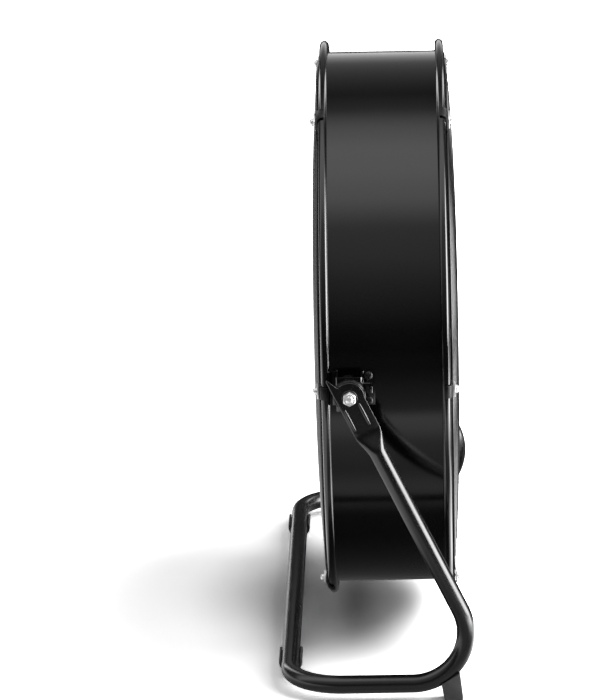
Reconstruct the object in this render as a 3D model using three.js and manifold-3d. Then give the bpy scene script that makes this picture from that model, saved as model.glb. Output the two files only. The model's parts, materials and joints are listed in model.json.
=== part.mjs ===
// Drum fan on a bent-tube floor stand, in millimetres with +Z up.
// The origin lies on the floor, at the middle of the stand. The fan blows along +Y,
// its drum tilts about an axis along X, and its blades turn about the drum's own axis.
import * as THREE from 'three';
import { mergeVertices } from 'three/addons/utils/BufferGeometryUtils.js';
import Module from 'manifold-3d';

const wasm = await Module();
wasm.setup();
const { Manifold, Mesh: SolidMesh } = wasm;

// ---------------------------------------------------------------- driving dimensions

const seatGap = 0.3;              // left between pieces that touch
const holeGap = 0.4;              // added to the radius of a bolt or shaft for its hole
const throughCut = 5;             // how far a hole's cutter runs past the pieces that it cuts
const boreEnd = 1;                // left past the end of a shaft in its blind bore

// drum
const drumRadius = 300;           // outside of the sheet
const drumSheet = 1.5;            // thickness of the sheet
const drumDepth = 138.8;          // over both rolled beads
const drumFacets = 36;
const beadRadius = 4.8;           // section of a rolled bead
const beadStand = 13;             // from the sheet to the outside of the beads

// wire grilles
const rimWire = 2;                // half the width of the rim wire
const ringWire = 1.5;             // half the width of a ring or radial wire
const ringPitch = 10;             // from ring to ring
const rimInset = 9.5;             // from the drum's wall in to the rim wire's middle
const rimToRing = 5.5;            // from the rim wire to the outermost ring
const domeHeight = 8.5;           // how far a grille bulges out at its middle
const rimSeat = 1.75;             // rim wire's middle in front of the drum's edge
const radialWires = 6;
const weldDepth = 0.6;            // how far a ring sinks into a radial wire
const domeFlatness = 3;           // power of the dome's curve: the larger, the flatter its middle
const outerRingFacets = 18;       // of the rings outside half the drum's radius
const innerRingFacets = 12;
const radialSteps = 5;
const rearEyeRadius = 25;         // opening in the rear grille, for the switch knob
const frontEyeRadius = 5;         // opening in the front grille

// grille clips and their screws
const clipsPerGrille = 6;
const clipWidth = 14;
const clipBlock = 2.4;            // thickness of the block on the drum's edge
const clipLip = 3.3;              // thickness of the lip under the rim wire
const clipLipReach = 3;           // how far the lip runs past the rim wire's middle
const clipWrap = 2;               // thickness of the hook around the bead
const clipWrapPast = 20;          // degrees that the hook runs past the bead's outermost point
const clipPlate = 2;              // thickness of the square plate under a screw's head
const clipScrewRadius = 1.5;
const clipScrewLength = 9;        // from the top of the plate to the screw's tip
const clipHeadRadius = 4.3;
const clipHeadHeight = 4.6;
const panSide = 0.7;              // share of a pan head's height up to which its side is straight
const panTop = 0.8;               // share of a pan head's radius over which its top is flat

// tilt pivot
const pivotHeight = 343;          // above the floor
const pivotBehindDrum = 39;       // from the drum's middle back to the pivot
const pivotAboveAxis = 3;         // from the drum's axis up to the pivot
const pivotBoltRadius = 4;
const pivotHeadRadius = 9;
const pivotHeadFlat = 6.3;        // radius of the flat on the bolt's head
const pivotHeadHeight = 3;
const nutAcrossFlats = 13;
const nutHeight = 6.5;
const washerRadius = 8.5;
const washerThickness = 1.6;
const boltPastNut = 2.2;
const boltChamfer = 1;
const discRadius = 17.5;          // friction disc between stand and bracket
const discThickness = 8;

// pivot brackets on the drum
const bracketSheet = 2.5;
const bracketHeight = 38;
const bracketHalfWidth = 14.5;
const bracketLongFoot = 12.5;
const bracketShortFoot = 5;
const stopTabInside = 20;         // from the pivot's axis to the tab's inner face
const stopTabLow = 4.1;           // lower and upper end of the tab, above the pivot
const stopTabHigh = 12;

// stand
const tubeRadius = 10;
const standDepth = 215.7;         // over the cross bar's feet and the leg bends
const sideClearance = 15;         // from the beads to the side tubes
const bendRadius = 58.5;          // of the tube's centreline, in every bend
const footLift = 8.5;             // from the floor to the underside of the rails
const pivotFromBar = 72.5;        // from the cross bar's centreline forward to the pivot

// flattened tube ends
const flatThickness = 3.2;
const flatHalfWidth = 14.9;
const flatLength = 41.5;          // from the pivot down to the end of the flat
const flatTopRadius = 16.2;
const flareLength = 29;           // over which the flat grows into the round tube
const flareOverlap = 4;           // how far the flare and the flat run into each other
const flareInside = 0.2;          // how far the flare starts within the faces of the flat
const hornReach = 27.8;           // from the pivot up to the horn's tip
const hornRoot = 16;              // from the pivot up to the horn's root
const hornTip = 1.5;              // width of the horn's blunt tip
const hornRootSide = 7;           // from the tube's middle line to the horn's root
const pressedRibSide = 8.5;       // from the tube's middle line to a pressed rib
const pressedRibStart = 10;
const pressedRibLength = 26;
const pressedRibRadius = 1.7;
const pressedRibFacets = 8;

// feet
const barFootInset = 39.5;        // from the start of the bar's bend in to a foot's middle
const saddleWall = 2.7;           // of the saddle that clips round the cross bar
const saddleLength = 44;
const saddleRise = 15;            // degrees that its sides reach above the bar's middle
const solePadLength = 24;
const solePadWidth = 10;
const bendFootWidth = 20;
const bendFootDepth = 20;
const bendFootBackHeight = 20;
const bendFootFrontHeight = 32;
const bendFootInset = 14;         // from the leg bend's foremost centreline back to the foot's middle
const bendFootLean = 3.5;
const bendFootNotch = 1.2;

// motor, its bars and the switch
const motorRadius = 68;
const motorLength = 54;
const motorFrontY = 8;            // motor's front face, from the drum's middle
const motorBellRadius = 30;
const motorBellDepth = 9;
const motorRibCount = 3;
const motorRibHeight = 3;
const motorRibShare = 0.4;        // share of the can's length that the ribs take
const barWidth = 22;
const barThickness = 2.5;
const barTabLength = 40;
const clampSpacing = 28;          // between the two screws that clamp a bracket and the bars
const clampBehindDrum = 18.5;     // from the drum's middle back to those screws
const clampScrewRadius = 2.5;
const clampHeadRadius = 4.5;
const clampHeadHeight = 2.6;
const clampScrewPast = 4;         // how far a screw runs past the bar
const switchRadius = 45;
const switchDepth = 14;
const switchEdge = 3;             // chamfer round the housing's face
const knobRadius = 19;
const knobHeight = 12.5;
const knobSkirt = 5;              // height of the knob's round base
const knobTaper = 2;
const knobGrip = 5;               // thickness of the knob's finger bar
const knobGripInset = 3;          // from the knob's edge in to the finger bar's ends
const knobGripRoot = 1;           // how far the finger bar reaches into the round base
const spindleRadius = 3;
const spindleDepth = 8;           // of the knob's spindle in the switch housing
const glandAcrossFlats = 14;
const glandNutHeight = 6;
const glandDomeHeight = 11;
const glandDomeRadius = 6.5;
const glandDomeStraight = 6.6;    // height up to which the dome's side is straight
const glandMouthRadius = 4.1;
const glandBoreRadius = 3.4;
const glandFloor = 2;             // left closed under the bore

// rotor
const shaftRadius = 6;
const shaftInMotor = 24;
const shaftPastHub = 4;
const hubRadius = 55;
const hubDepth = 40;
const hubWall = 3;
const hubBossRadius = 15;
const hubBossInset = 8;           // from the hub's rear edge in to its boss
const hubEdge = 3;                // chamfer round the hub's face
const hubFacets = 18;
const hubY = 36;                  // middle of the hub, from the drum's middle
const bladeCount = 3;
const bladeTipGap = 11;           // from the blades to the drum's sheet
const bladeThickness = 2;
const bladeRootChord = 78;
const bladeTipChord = 178;
const bladeRootPitch = 40;        // degrees
const bladeTipPitch = 21;         // degrees
const bladeTipY = 28;             // middle of a blade at its tip
const bladeCamber = 0.07;         // share of the chord
const bladeRootSink = 2;          // how far a blade's root starts inside the hub before it is trimmed

// ---------------------------------------------------------------- places worked out from them

const halfDepth = drumDepth / 2;
const beadOuter = drumRadius + beadStand;
const beadCentre = beadOuter - beadRadius;
const drumInner = drumRadius - drumSheet;
const sideX = beadOuter + sideClearance + tubeRadius;
const railZ = footLift + tubeRadius;
const barFootX = sideX - bendRadius - barFootInset;
const saddleInner = tubeRadius + seatGap;
const saddleOuter = saddleInner + saddleWall;
const crossBarY = -standDepth / 2 + saddleOuter;
const legBendY = standDepth / 2 - tubeRadius;
const pivotY = crossBarY + pivotFromBar;
const drumY = pivotY + pivotBehindDrum;
const drumZ = pivotHeight - pivotAboveAxis;

const rimRadius = drumInner - rimInset;
const rimY = halfDepth + rimSeat;
const outerRing = rimRadius - rimToRing;

// a clip's block runs from the rim wire out over the drum's edge, and its screw goes through
// the flange, between the drum's wall and the rolled bead
const clipBlockInner = rimRadius + rimWire + seatGap;
const clipStemOuter = wallInside(clipWidth / 2) - seatGap;
const clipScrewRing = (drumRadius + beadOuter - 2 * beadRadius) / 2;
const clipBlockTop = halfDepth + seatGap + clipBlock;
const clipPlateY = clipBlockTop + seatGap;

// from the stand's flat end inward: friction disc, then the bracket's web
const flatInnerX = sideX - flatThickness / 2;
const flatOuterX = sideX + flatThickness / 2;
const discX = flatInnerX - seatGap - discThickness / 2;
const webOuterX = flatInnerX - 2 * seatGap - discThickness;

const clampLevel = (level) => pivotAboveAxis + level * clampSpacing / 2;
const clampScrewSeat = drumRadius + 2 * seatGap + bracketSheet;
const clampScrewEnd = drumInner - seatGap - barThickness - clampScrewPast;
const motorRearY = motorFrontY - motorLength;
const motorBarY = motorRearY - seatGap - barThickness;
const switchFrontY = motorBarY - seatGap;
const switchRearY = switchFrontY - switchDepth;
const shaftTip = hubY + hubDepth / 2 + shaftPastHub;
const bladeTip = drumInner - bladeTipGap;

// distance of the drum's wall from its axis, at a distance across from one of its facets' corners
function wallInside(across) {
  return drumInner - across * Math.tan(Math.PI / drumFacets);
}

// ---------------------------------------------------------------- finishes

const finish = (color, roughness, metalness) => ({ color, roughness, metalness });
const blackPaint = finish(0x0b0b0c, 0.22, 0.1);
const standPaint = finish(0x161617, 0.38, 0.1);
const wirePaint = finish(0x101011, 0.2, 0.1);
const zinc = finish(0xd6d7d4, 0.28, 1.0);
const blackSteel = finish(0x1a1a1b, 0.3, 0.4);
const clipBlack = finish(0x0d0d0d, 0.55, 0.0);
const rubber = finish(0x2b2b2c, 0.85, 0.0);
const castGrey = finish(0x3a3b3d, 0.5, 0.6);
const bladeMetal = finish(0xc9cccf, 0.32, 1.0);
const switchPlastic = finish(0x151516, 0.5, 0.0);
const steel = finish(0x9a9c9e, 0.35, 1.0);

// ---------------------------------------------------------------- tools for shapes

// a closed geometry with shared corners merged, as a solid that can be cut and joined
function solid(geometry) {
  const bare = geometry.clone();
  bare.deleteAttribute('normal');
  bare.deleteAttribute('uv');
  const merged = mergeVertices(bare, 1e-4);
  return new Manifold(new SolidMesh({
    numProp: 3,
    vertProperties: new Float32Array(merged.attributes.position.array),
    triVerts: new Uint32Array(merged.index.array),
  }));
}

function geometryOf(body) {
  const mesh = body.getMesh();
  const geometry = new THREE.BufferGeometry();
  geometry.setAttribute('position', new THREE.BufferAttribute(mesh.vertProperties, 3));
  geometry.setIndex(new THREE.BufferAttribute(mesh.triVerts, 1));
  geometry.computeVertexNormals();
  return geometry;
}

const join = (...geometries) => geometryOf(Manifold.union(geometries.map(solid)));

function cut(geometry, ...tools) {
  const body = tools.map(solid).reduce((left, tool) => left.subtract(tool), solid(geometry));
  return geometryOf(body);
}

function piece(name, geometry, look) {
  const mesh = new THREE.Mesh(geometry, new THREE.MeshStandardMaterial(look));
  mesh.name = name;
  return mesh;
}

function group(x, y, z, ...children) {
  const holder = new THREE.Group();
  holder.position.set(x, y, z);
  holder.add(...children);
  return holder;
}

// a closed outline of [radius, y] points, turned about the Y axis
function revolve(outline, segments) {
  const points = [...outline, outline[0]].map(([r, y]) => new THREE.Vector2(r, y));
  return new THREE.LatheGeometry(points, segments, Math.PI / 2);
}

// an outline of [radius, y] points that starts and ends on the axis, turned about the Y axis
function turn(outline, segments) {
  const points = outline.map(([r, y]) => new THREE.Vector2(r, y));
  return new THREE.LatheGeometry(points, segments, Math.PI / 2);
}

// a round bar along Y from low to high
function bar(radius, low, high, segments = 12) {
  return turn([[0, low], [radius, low], [radius, high], [0, high]], segments);
}

// turns a shape made along Y so that it points along +X or -X
const towardX = (geometry, side) => geometry.rotateZ(-side * Math.PI / 2);

// an outline of [across, up] points, pushed out by depth about its own plane
function extrude(shape, depth, curveSegments = 4) {
  const geometry = new THREE.ExtrudeGeometry(shape, { depth, bevelEnabled: false, curveSegments });
  return geometry.translate(0, 0, -depth / 2);
}

const outlineOf = (points) => new THREE.Shape(points.map(([x, y]) => new THREE.Vector2(x, y)));

// outline of a bent strip that keeps its thickness to the left of the line through the points
function stripOutline(points, thickness) {
  const line = points.map(([x, y]) => new THREE.Vector2(x, y));
  const normals = line.slice(1).map((end, i) => {
    const along = end.clone().sub(line[i]).normalize();
    return new THREE.Vector2(-along.y, along.x);
  });
  const offset = line.map((corner, i) => {
    const before = normals[Math.max(i - 1, 0)];
    const after = normals[Math.min(i, normals.length - 1)];
    const mitre = before.clone().add(after);
    return corner.clone().add(mitre.multiplyScalar(2 * thickness / mitre.lengthSq()));
  });
  return new THREE.Shape([...line, ...offset.reverse()]);
}

// a closed skin over rings of points that follow each other, with a flat cap at each end
function loft(rings) {
  const sides = rings[0].length;
  const last = (rings.length - 1) * sides;
  const positions = rings.flat().flatMap((p) => [p.x, p.y, p.z]);
  const faces = [];
  for (let i = 0; i < last; i += sides) {
    for (let j = 0; j < sides; j += 1) {
      const next = (j + 1) % sides;
      faces.push(i + j, i + next, i + sides + next);
      faces.push(i + j, i + sides + next, i + sides + j);
    }
  }
  for (let j = 1; j < sides - 1; j += 1) {
    faces.push(0, j + 1, j);
    faces.push(last, last + j, last + j + 1);
  }
  const geometry = new THREE.BufferGeometry();
  geometry.setAttribute('position', new THREE.Float32BufferAttribute(positions, 3));
  geometry.setIndex(faces);
  return geometry;
}

// ---------------------------------------------------------------- stand

// angle of the legs from the vertical: they run from the pivots tangent to the leg bends
const bendCentre = new THREE.Vector2(legBendY - bendRadius, railZ + bendRadius);
const toBend = bendCentre.clone().sub(new THREE.Vector2(pivotY, pivotHeight));
const legAngle = Math.atan2(toBend.x, -toBend.y) + Math.asin(bendRadius / toBend.length());

const tubeSides = 12;
const bendSteps = 6;              // in a quarter turn of a bend
const legBendSteps = 2;           // in the stretch of a leg's bend above its foremost point

// one ring of the tube: round by default, or flattened to a thickness and a width
function tubeRing(centre, side, up, halfSide = tubeRadius, halfUp = tubeRadius) {
  return Array.from({ length: tubeSides }, (_, i) => {
    const turnAngle = i / tubeSides * 2 * Math.PI;
    return centre.clone()
      .addScaledVector(side, halfSide * Math.cos(turnAngle))
      .addScaledVector(up, halfUp * Math.sin(turnAngle));
  });
}

// rings down one leg, from inside the flat end to the round tube, at the +X side
function flareRings() {
  const down = new THREE.Vector3(0, Math.sin(legAngle), -Math.cos(legAngle));
  const up = new THREE.Vector3(0, down.z, -down.y);
  const side = new THREE.Vector3(1, 0, 0);
  const start = new THREE.Vector3(sideX, pivotY, pivotHeight);
  const steps = [-flareOverlap, ...[0, 0.25, 0.55, 1].map((share) => share * flareLength)];
  return steps.map((distance) => {
    const grown = Math.max(distance / flareLength, 0);
    const half = flatThickness / 2 - flareInside;
    const thick = THREE.MathUtils.lerp(half, tubeRadius, Math.sin(grown * Math.PI / 2));
    const wide = THREE.MathUtils.lerp(flatHalfWidth - flareInside, tubeRadius, grown);
    const centre = start.clone().addScaledVector(down, flatLength + distance);
    return tubeRing(centre, side, up, thick, wide);
  });
}

// rings round a leg's bend, in the plane of the leg and the side rail
function legBendRings(radius = tubeRadius) {
  const side = new THREE.Vector3(1, 0, 0);
  return Array.from({ length: legBendSteps + bendSteps + 1 }, (_, i) => {
    const above = legBendSteps - i;
    const angle = above > 0 ? legAngle * above / legBendSteps : Math.PI / 2 * above / bendSteps;
    const out = new THREE.Vector3(0, Math.cos(angle), Math.sin(angle));
    const centre = new THREE.Vector3(sideX, bendCentre.x, bendCentre.y).addScaledVector(out, bendRadius);
    return tubeRing(centre, side, out.negate(), radius, radius);
  });
}

// rings round the rear corner, where the side rail turns into the cross bar
function cornerRings() {
  const up = new THREE.Vector3(0, 0, 1);
  const centre = new THREE.Vector3(sideX - bendRadius, crossBarY + bendRadius, railZ);
  return Array.from({ length: bendSteps + 1 }, (_, i) => {
    const angle = -Math.PI / 2 * i / bendSteps;
    const out = new THREE.Vector3(Math.cos(angle), Math.sin(angle), 0);
    return tubeRing(centre.clone().addScaledVector(out, bendRadius), out, up);
  });
}

// flat end of the tube: round top, bolt hole, and the horn that stops the tilt
function flatEnd() {
  const bottom = -(flatLength + flareOverlap);
  const shape = new THREE.Shape();
  shape.moveTo(-flatHalfWidth, bottom);
  shape.lineTo(flatHalfWidth, bottom);
  const shoulder = Math.asin(flatHalfWidth / flatTopRadius) - Math.PI / 2;
  const rootAngle = Math.PI / 2 + Math.asin(hornRootSide / flatTopRadius);
  shape.absarc(0, 0, flatTopRadius, shoulder, rootAngle, false);
  shape.lineTo(-hornRootSide, hornRoot);
  shape.lineTo(-flatHalfWidth + hornTip, hornReach);
  shape.lineTo(-flatHalfWidth, hornReach - hornTip);
  const hole = new THREE.Path();
  hole.absarc(0, 0, pivotBoltRadius + holeGap, 0, 2 * Math.PI, true);
  shape.holes.push(hole);
  const plate = extrude(shape, flatThickness, 7);
  const ribs = [-1, 1].map((across) => {
    const top = -pressedRibStart;
    const rib = bar(pressedRibRadius, top - pressedRibLength, top, pressedRibFacets);
    return rib.translate(across * pressedRibSide, 0, flatThickness / 2);
  });
  // the outline's own across becomes the front, and its up becomes the leg's direction
  const face = join(plate, ...ribs);
  face.rotateX(Math.PI / 2);
  face.rotateZ(Math.PI / 2);
  face.rotateX(legAngle);
  return face.translate(sideX, pivotY, pivotHeight);
}

// mirror image of a geometry across the plane X = 0, with its faces still pointing out
function mirrored(geometry) {
  const copy = geometry.clone().scale(-1, 1, 1);
  const index = copy.index.array;
  for (let i = 0; i < index.length; i += 3) {
    [index[i], index[i + 1]] = [index[i + 1], index[i]];
  }
  return copy;
}

function standTube() {
  const right = [...flareRings(), ...legBendRings(), ...cornerRings()];
  const left = right.map((ring) => ring.map((p) => new THREE.Vector3(-p.x, p.y, p.z))).reverse();
  const rightEnd = flatEnd();
  return join(loft([...right, ...left]), rightEnd, mirrored(rightEnd));
}

// rubber foot of the cross bar: a saddle that clips round the tube from below, on a sole pad
function barFoot() {
  const rise = THREE.MathUtils.degToRad(saddleRise);
  const ring = new THREE.Shape();
  ring.absarc(0, 0, saddleOuter, Math.PI - rise, rise, false);
  ring.absarc(0, 0, saddleInner, rise, Math.PI - rise, true);
  const saddle = extrude(ring, saddleLength, 12);
  saddle.rotateX(Math.PI / 2).rotateZ(Math.PI / 2);
  saddle.translate(0, 0, railZ);
  const padHeight = railZ - saddleInner - saddleWall / 2;
  const pad = new THREE.BoxGeometry(solePadLength, solePadWidth, padHeight);
  pad.translate(0, 0, padHeight / 2);
  return join(saddle, pad);
}

// foot under a leg's bend: a leaning block, hollowed to the tube, with a notch in its sole
function bendFoot() {
  const half = bendFootDepth / 2;
  const shape = outlineOf([
    [half, 0], [half - bendFootLean, bendFootFrontHeight],
    [-half - bendFootLean, bendFootBackHeight], [-half, 0],
    [-half / 2, 0], [-half / 2, bendFootNotch], [half / 4, bendFootNotch], [half / 4, 0],
  ]);
  const block = extrude(shape, bendFootWidth);
  block.rotateX(Math.PI / 2).rotateZ(Math.PI / 2);
  block.translate(sideX, legBendY - bendFootInset, 0);
  return cut(block, loft(legBendRings(tubeRadius + seatGap)));
}

function stand() {
  const foot = barFoot();
  const bend = bendFoot();
  return [
    piece('stand_tube', standTube(), standPaint),
    piece('bar_foot_right', foot.clone().translate(barFootX, crossBarY, 0), rubber),
    piece('bar_foot_left', foot.clone().translate(-barFootX, crossBarY, 0), rubber),
    piece('bend_foot_right', bend, rubber),
    piece('bend_foot_left', mirrored(bend), rubber),
  ];
}

// ---------------------------------------------------------------- drum shell

// half of the sheet's outline at one end: rounded mouth, turned-out flange and rolled bead
function drumEdge() {
  const centreY = halfDepth - beadRadius;
  const underFlange = halfDepth - drumSheet;
  const closing = -Math.PI - Math.asin((underFlange - centreY) / beadRadius);
  const turns = [...Array.from({ length: 7 }, (_, i) => (2 - i) * Math.PI / 4), closing];
  const roll = turns.map((angle) => {
    return [beadCentre + beadRadius * Math.cos(angle), centreY + beadRadius * Math.sin(angle)];
  });
  const mouth = [[drumInner, halfDepth - 2 * drumSheet], [drumRadius, halfDepth]];
  return [...mouth, ...roll, [drumRadius, underFlange]];
}

// holes through bar, sheet and bracket for the screws that clamp them together
function clampHoles() {
  const inner = clampScrewEnd - boreEnd;
  const outer = clampScrewSeat + throughCut;
  const holes = [];
  for (const side of [-1, 1]) {
    for (const level of [-1, 1]) {
      const hole = bar(clampScrewRadius + holeGap, inner, outer, 8);
      holes.push(towardX(hole, side).translate(0, -clampBehindDrum, clampLevel(level)));
    }
  }
  return holes;
}

function drumShell() {
  const front = drumEdge();
  const rear = front.map(([r, y]) => [r, -y]).reverse();
  const screwHoles = Array.from({ length: clipsPerGrille }, (_, i) => {
    return ['front', 'rear'].map((face) => atClip(clipScrewHole(), face, i));
  });
  return cut(revolve([...front, ...rear].reverse(), drumFacets), ...clampHoles(), ...screwHoles.flat());
}

// ---------------------------------------------------------------- wire grilles

// height of the domed grille's wires above the drum's middle, at a radius
function crown(radius) {
  return rimY + domeHeight * (1 - (radius / rimRadius) ** domeFlatness);
}

// a ring with a ridge on its inner side, so that it meets the radial wires at a point
function wireRing(radius, half, segments) {
  const y = crown(radius);
  return revolve([[radius, y - half], [radius + half, y + half], [radius - half, y + half]], segments);
}

// a radial wire that follows the dome from the innermost ring to the rim, ridge outward
function radialWire(angle, from, to) {
  const rings = Array.from({ length: radialSteps + 1 }, (_, i) => {
    const r = THREE.MathUtils.lerp(from, to, i / radialSteps);
    const ridge = crown(r) - ringWire + weldDepth;
    return [
      new THREE.Vector3(r, ridge - 2 * ringWire, ringWire),
      new THREE.Vector3(r, ridge - 2 * ringWire, -ringWire),
      new THREE.Vector3(r, ridge, 0),
    ];
  });
  return loft(rings).rotateY(angle);
}

function grille(eyeRadius) {
  const wires = [wireRing(rimRadius, rimWire, drumFacets)];
  let innermost = outerRing;
  for (let radius = outerRing; radius > eyeRadius; radius -= ringPitch) {
    wires.push(wireRing(radius, ringWire, radius > drumRadius / 2 ? outerRingFacets : innerRingFacets));
    innermost = radius;
  }
  for (let i = 0; i < radialWires; i += 1) {
    const angle = (i + 0.5) / radialWires * 2 * Math.PI;
    wires.push(radialWire(angle, innermost - ringWire / 2, rimRadius + rimWire / 2));
  }
  return join(...wires);
}

// ---------------------------------------------------------------- grille clips

// hole for a clip's screw, through the clip's block and the drum's flange
function clipScrewHole() {
  const hole = bar(clipScrewRadius + holeGap, halfDepth - beadRadius, clipBlockTop + clipPlate, 8);
  return hole.translate(clipScrewRing, 0, 0);
}

// places a shape made for the first clip of the front grille at clip i of a face;
// those of the rear face are turned half round about X
function atClip(shape, face, i) {
  const turned = face === 'front' ? 0 : Math.PI;
  return shape.clone().rotateY(i / clipsPerGrille * 2 * Math.PI).rotateX(turned);
}

// black clip: a hook over the drum's bead, a block on the drum's edge and a lip under the rim wire
function clipHook() {
  const centreY = halfDepth - beadRadius;
  const inner = beadRadius + seatGap;
  const lipTop = rimY - rimWire - seatGap;
  const onBead = (reach, degrees) => {
    const angle = THREE.MathUtils.degToRad(degrees);
    return [beadCentre + reach * Math.cos(angle), centreY + reach * Math.sin(angle)];
  };
  const shape = outlineOf([
    [rimRadius - clipLipReach, lipTop - clipLip], [clipStemOuter, lipTop - clipLip],
    [clipStemOuter, halfDepth + seatGap], onBead(inner, 90), onBead(inner, 45), onBead(inner, 0),
    onBead(inner, -clipWrapPast), onBead(inner + clipWrap, -clipWrapPast), onBead(inner + clipWrap, 0),
    onBead(inner + clipWrap, 45), [beadCentre, clipBlockTop],
    [clipBlockInner, clipBlockTop], [clipBlockInner, lipTop], [rimRadius - clipLipReach, lipTop],
  ]);
  return cut(extrude(shape, clipWidth), clipScrewHole());
}

// outline of a pan head that sits at a height along Y, from its rim to the axis
function panHead(radius, seat, height) {
  return [
    [radius, seat], [radius, seat + panSide * height],
    [panTop * radius, seat + height], [0, seat + height],
  ];
}

// screw with its square plate, driven inward along Y
function clipScrew() {
  const plateTop = clipPlateY + clipPlate;
  const insidePlate = clipPlateY + clipPlate / 2;
  const plate = new THREE.BoxGeometry(clipWidth, clipPlate, clipWidth);
  plate.translate(0, clipPlateY + clipPlate / 2, 0);
  const screw = turn([
    [0, plateTop - clipScrewLength], [clipScrewRadius, plateTop - clipScrewLength],
    [clipScrewRadius, insidePlate], [clipHeadRadius, insidePlate],
    ...panHead(clipHeadRadius, plateTop, clipHeadHeight),
  ], 6);
  return join(plate, screw).translate(clipScrewRing, 0, 0);
}

function clips(face) {
  const hook = clipHook();
  const screw = clipScrew();
  const pieces = [];
  for (let i = 0; i < clipsPerGrille; i += 1) {
    pieces.push(piece(`clip_${face}_${i + 1}`, atClip(hook, face, i), clipBlack));
    pieces.push(piece(`clip_screw_${face}_${i + 1}`, atClip(screw, face, i), zinc));
  }
  return pieces;
}

// ---------------------------------------------------------------- pivot hardware

// all of it is made for the +X side, about the pivot's axis, in the drum's own frame
const pivotInDrum = [0, -pivotBehindDrum, pivotAboveAxis];
const alongX = (geometry) => towardX(geometry, 1).translate(...pivotInDrum);

function disc(radius, low, high, segments) {
  const hole = pivotBoltRadius + holeGap;
  return revolve([[hole, low], [radius, low], [radius, high], [hole, high]], segments);
}

function pivotNut(low) {
  const corner = nutAcrossFlats / Math.sqrt(3);
  const shape = outlineOf(Array.from({ length: 6 }, (_, i) => {
    const angle = i / 6 * 2 * Math.PI;
    return [corner * Math.cos(angle), corner * Math.sin(angle)];
  }));
  const hole = new THREE.Path();
  hole.absarc(0, 0, pivotBoltRadius + holeGap / 2, 0, 2 * Math.PI, true);
  shape.holes.push(hole);
  return extrude(shape, nutHeight, 6).rotateX(Math.PI / 2).translate(0, low + nutHeight / 2, 0);
}

function pivotBolt(headX, endX) {
  return turn([
    [0, headX - pivotHeadHeight], [pivotHeadFlat, headX - pivotHeadHeight],
    [pivotHeadRadius, headX], [pivotBoltRadius, headX], [pivotBoltRadius, endX - boltChamfer],
    [pivotBoltRadius - boltChamfer, endX], [0, endX],
  ], 12);
}

// hat-shaped bracket with a tab that meets the stand's flat ends at both ends of the tilt
function pivotBracket() {
  const footX = drumRadius + seatGap;
  const webX = webOuterX - bracketSheet;
  const hat = stripOutline([
    [footX, -bracketHalfWidth - bracketShortFoot], [footX, -bracketHalfWidth + bracketSheet],
    [webX, -bracketHalfWidth + bracketSheet], [webX, bracketHalfWidth - bracketSheet],
    [footX, bracketHalfWidth - bracketSheet], [footX, bracketHalfWidth + bracketLongFoot],
  ], -bracketSheet);
  const tab = stripOutline([
    [webX, bracketHalfWidth - bracketSheet], [webX, stopTabInside + bracketSheet],
    [flatOuterX, stopTabInside + bracketSheet],
  ], bracketSheet);
  const hatBody = extrude(hat, bracketHeight).translate(0, -pivotBehindDrum, pivotAboveAxis);
  const tabBody = extrude(tab, stopTabHigh - stopTabLow);
  tabBody.translate(0, -pivotBehindDrum, pivotAboveAxis + (stopTabHigh + stopTabLow) / 2);
  const boltHole = alongX(bar(pivotBoltRadius + holeGap, webX - throughCut, webOuterX + throughCut));
  return cut(join(hatBody, tabBody), boltHole, ...clampHoles());
}

function pivotPieces() {
  const washerX = flatOuterX + seatGap;
  const nutX = washerX + washerThickness + seatGap;
  const headX = webOuterX - bracketSheet - seatGap;
  const frictionDisc = disc(discRadius, discX - discThickness / 2, discX + discThickness / 2, 16);
  const right = {
    pivot_bracket: [pivotBracket(), blackPaint],
    friction_disc: [alongX(frictionDisc), clipBlack],
    pivot_bolt: [alongX(pivotBolt(headX, nutX + nutHeight + boltPastNut)), zinc],
    pivot_washer: [alongX(disc(washerRadius, washerX, washerX + washerThickness, 12)), blackSteel],
    pivot_nut: [alongX(pivotNut(nutX)), zinc],
  };
  return Object.entries(right).flatMap(([name, [shape, look]]) => [
    piece(`${name}_right`, shape, look),
    piece(`${name}_left`, mirrored(shape.index ? shape : mergeVertices(shape)), look),
  ]);
}

// ---------------------------------------------------------------- motor, bars and switch

// ribbed motor can with a front bell, and a blind bore for the shaft
function motorBody() {
  const valley = motorRadius - motorRibHeight;
  const pitch = (motorLength - motorBellDepth) / motorRibCount;
  const boreFloor = motorFrontY - shaftInMotor - boreEnd;
  const outline = [[0, motorRearY], [valley, motorRearY]];
  for (let i = 0; i < motorRibCount; i += 1) {
    const middle = motorRearY + (i + 0.5) * pitch;
    const half = motorRibShare * pitch / 2;
    outline.push([motorRadius, middle - half], [motorRadius, middle + half], [valley, middle + pitch / 2]);
  }
  outline.push([motorBellRadius, motorFrontY], [shaftRadius + holeGap, motorFrontY]);
  outline.push([shaftRadius + holeGap, boreFloor], [0, boreFloor]);
  return turn(outline, 18);
}

// bar across the drum behind the motor, with its ends bent forward against the sheet
function motorBar(level) {
  const edge = Math.abs(clampLevel(level)) + barWidth / 2;
  const wallX = wallInside(edge) - seatGap;
  const outline = stripOutline([
    [-wallX, motorBarY + barTabLength], [-wallX, motorBarY],
    [wallX, motorBarY], [wallX, motorBarY + barTabLength],
  ], barThickness);
  const body = extrude(outline, barWidth).translate(0, 0, clampLevel(level));
  return cut(body, ...clampHoles());
}

// pan-head screw that clamps a bracket's foot, the sheet and a bar's end together
function clampScrew(side, level) {
  const screw = turn([
    [0, clampScrewEnd], [clampScrewRadius, clampScrewEnd], [clampScrewRadius, clampScrewSeat],
    ...panHead(clampHeadRadius, clampScrewSeat, clampHeadHeight),
  ], 8);
  return towardX(screw, side).translate(0, -clampBehindDrum, clampLevel(level));
}

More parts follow.
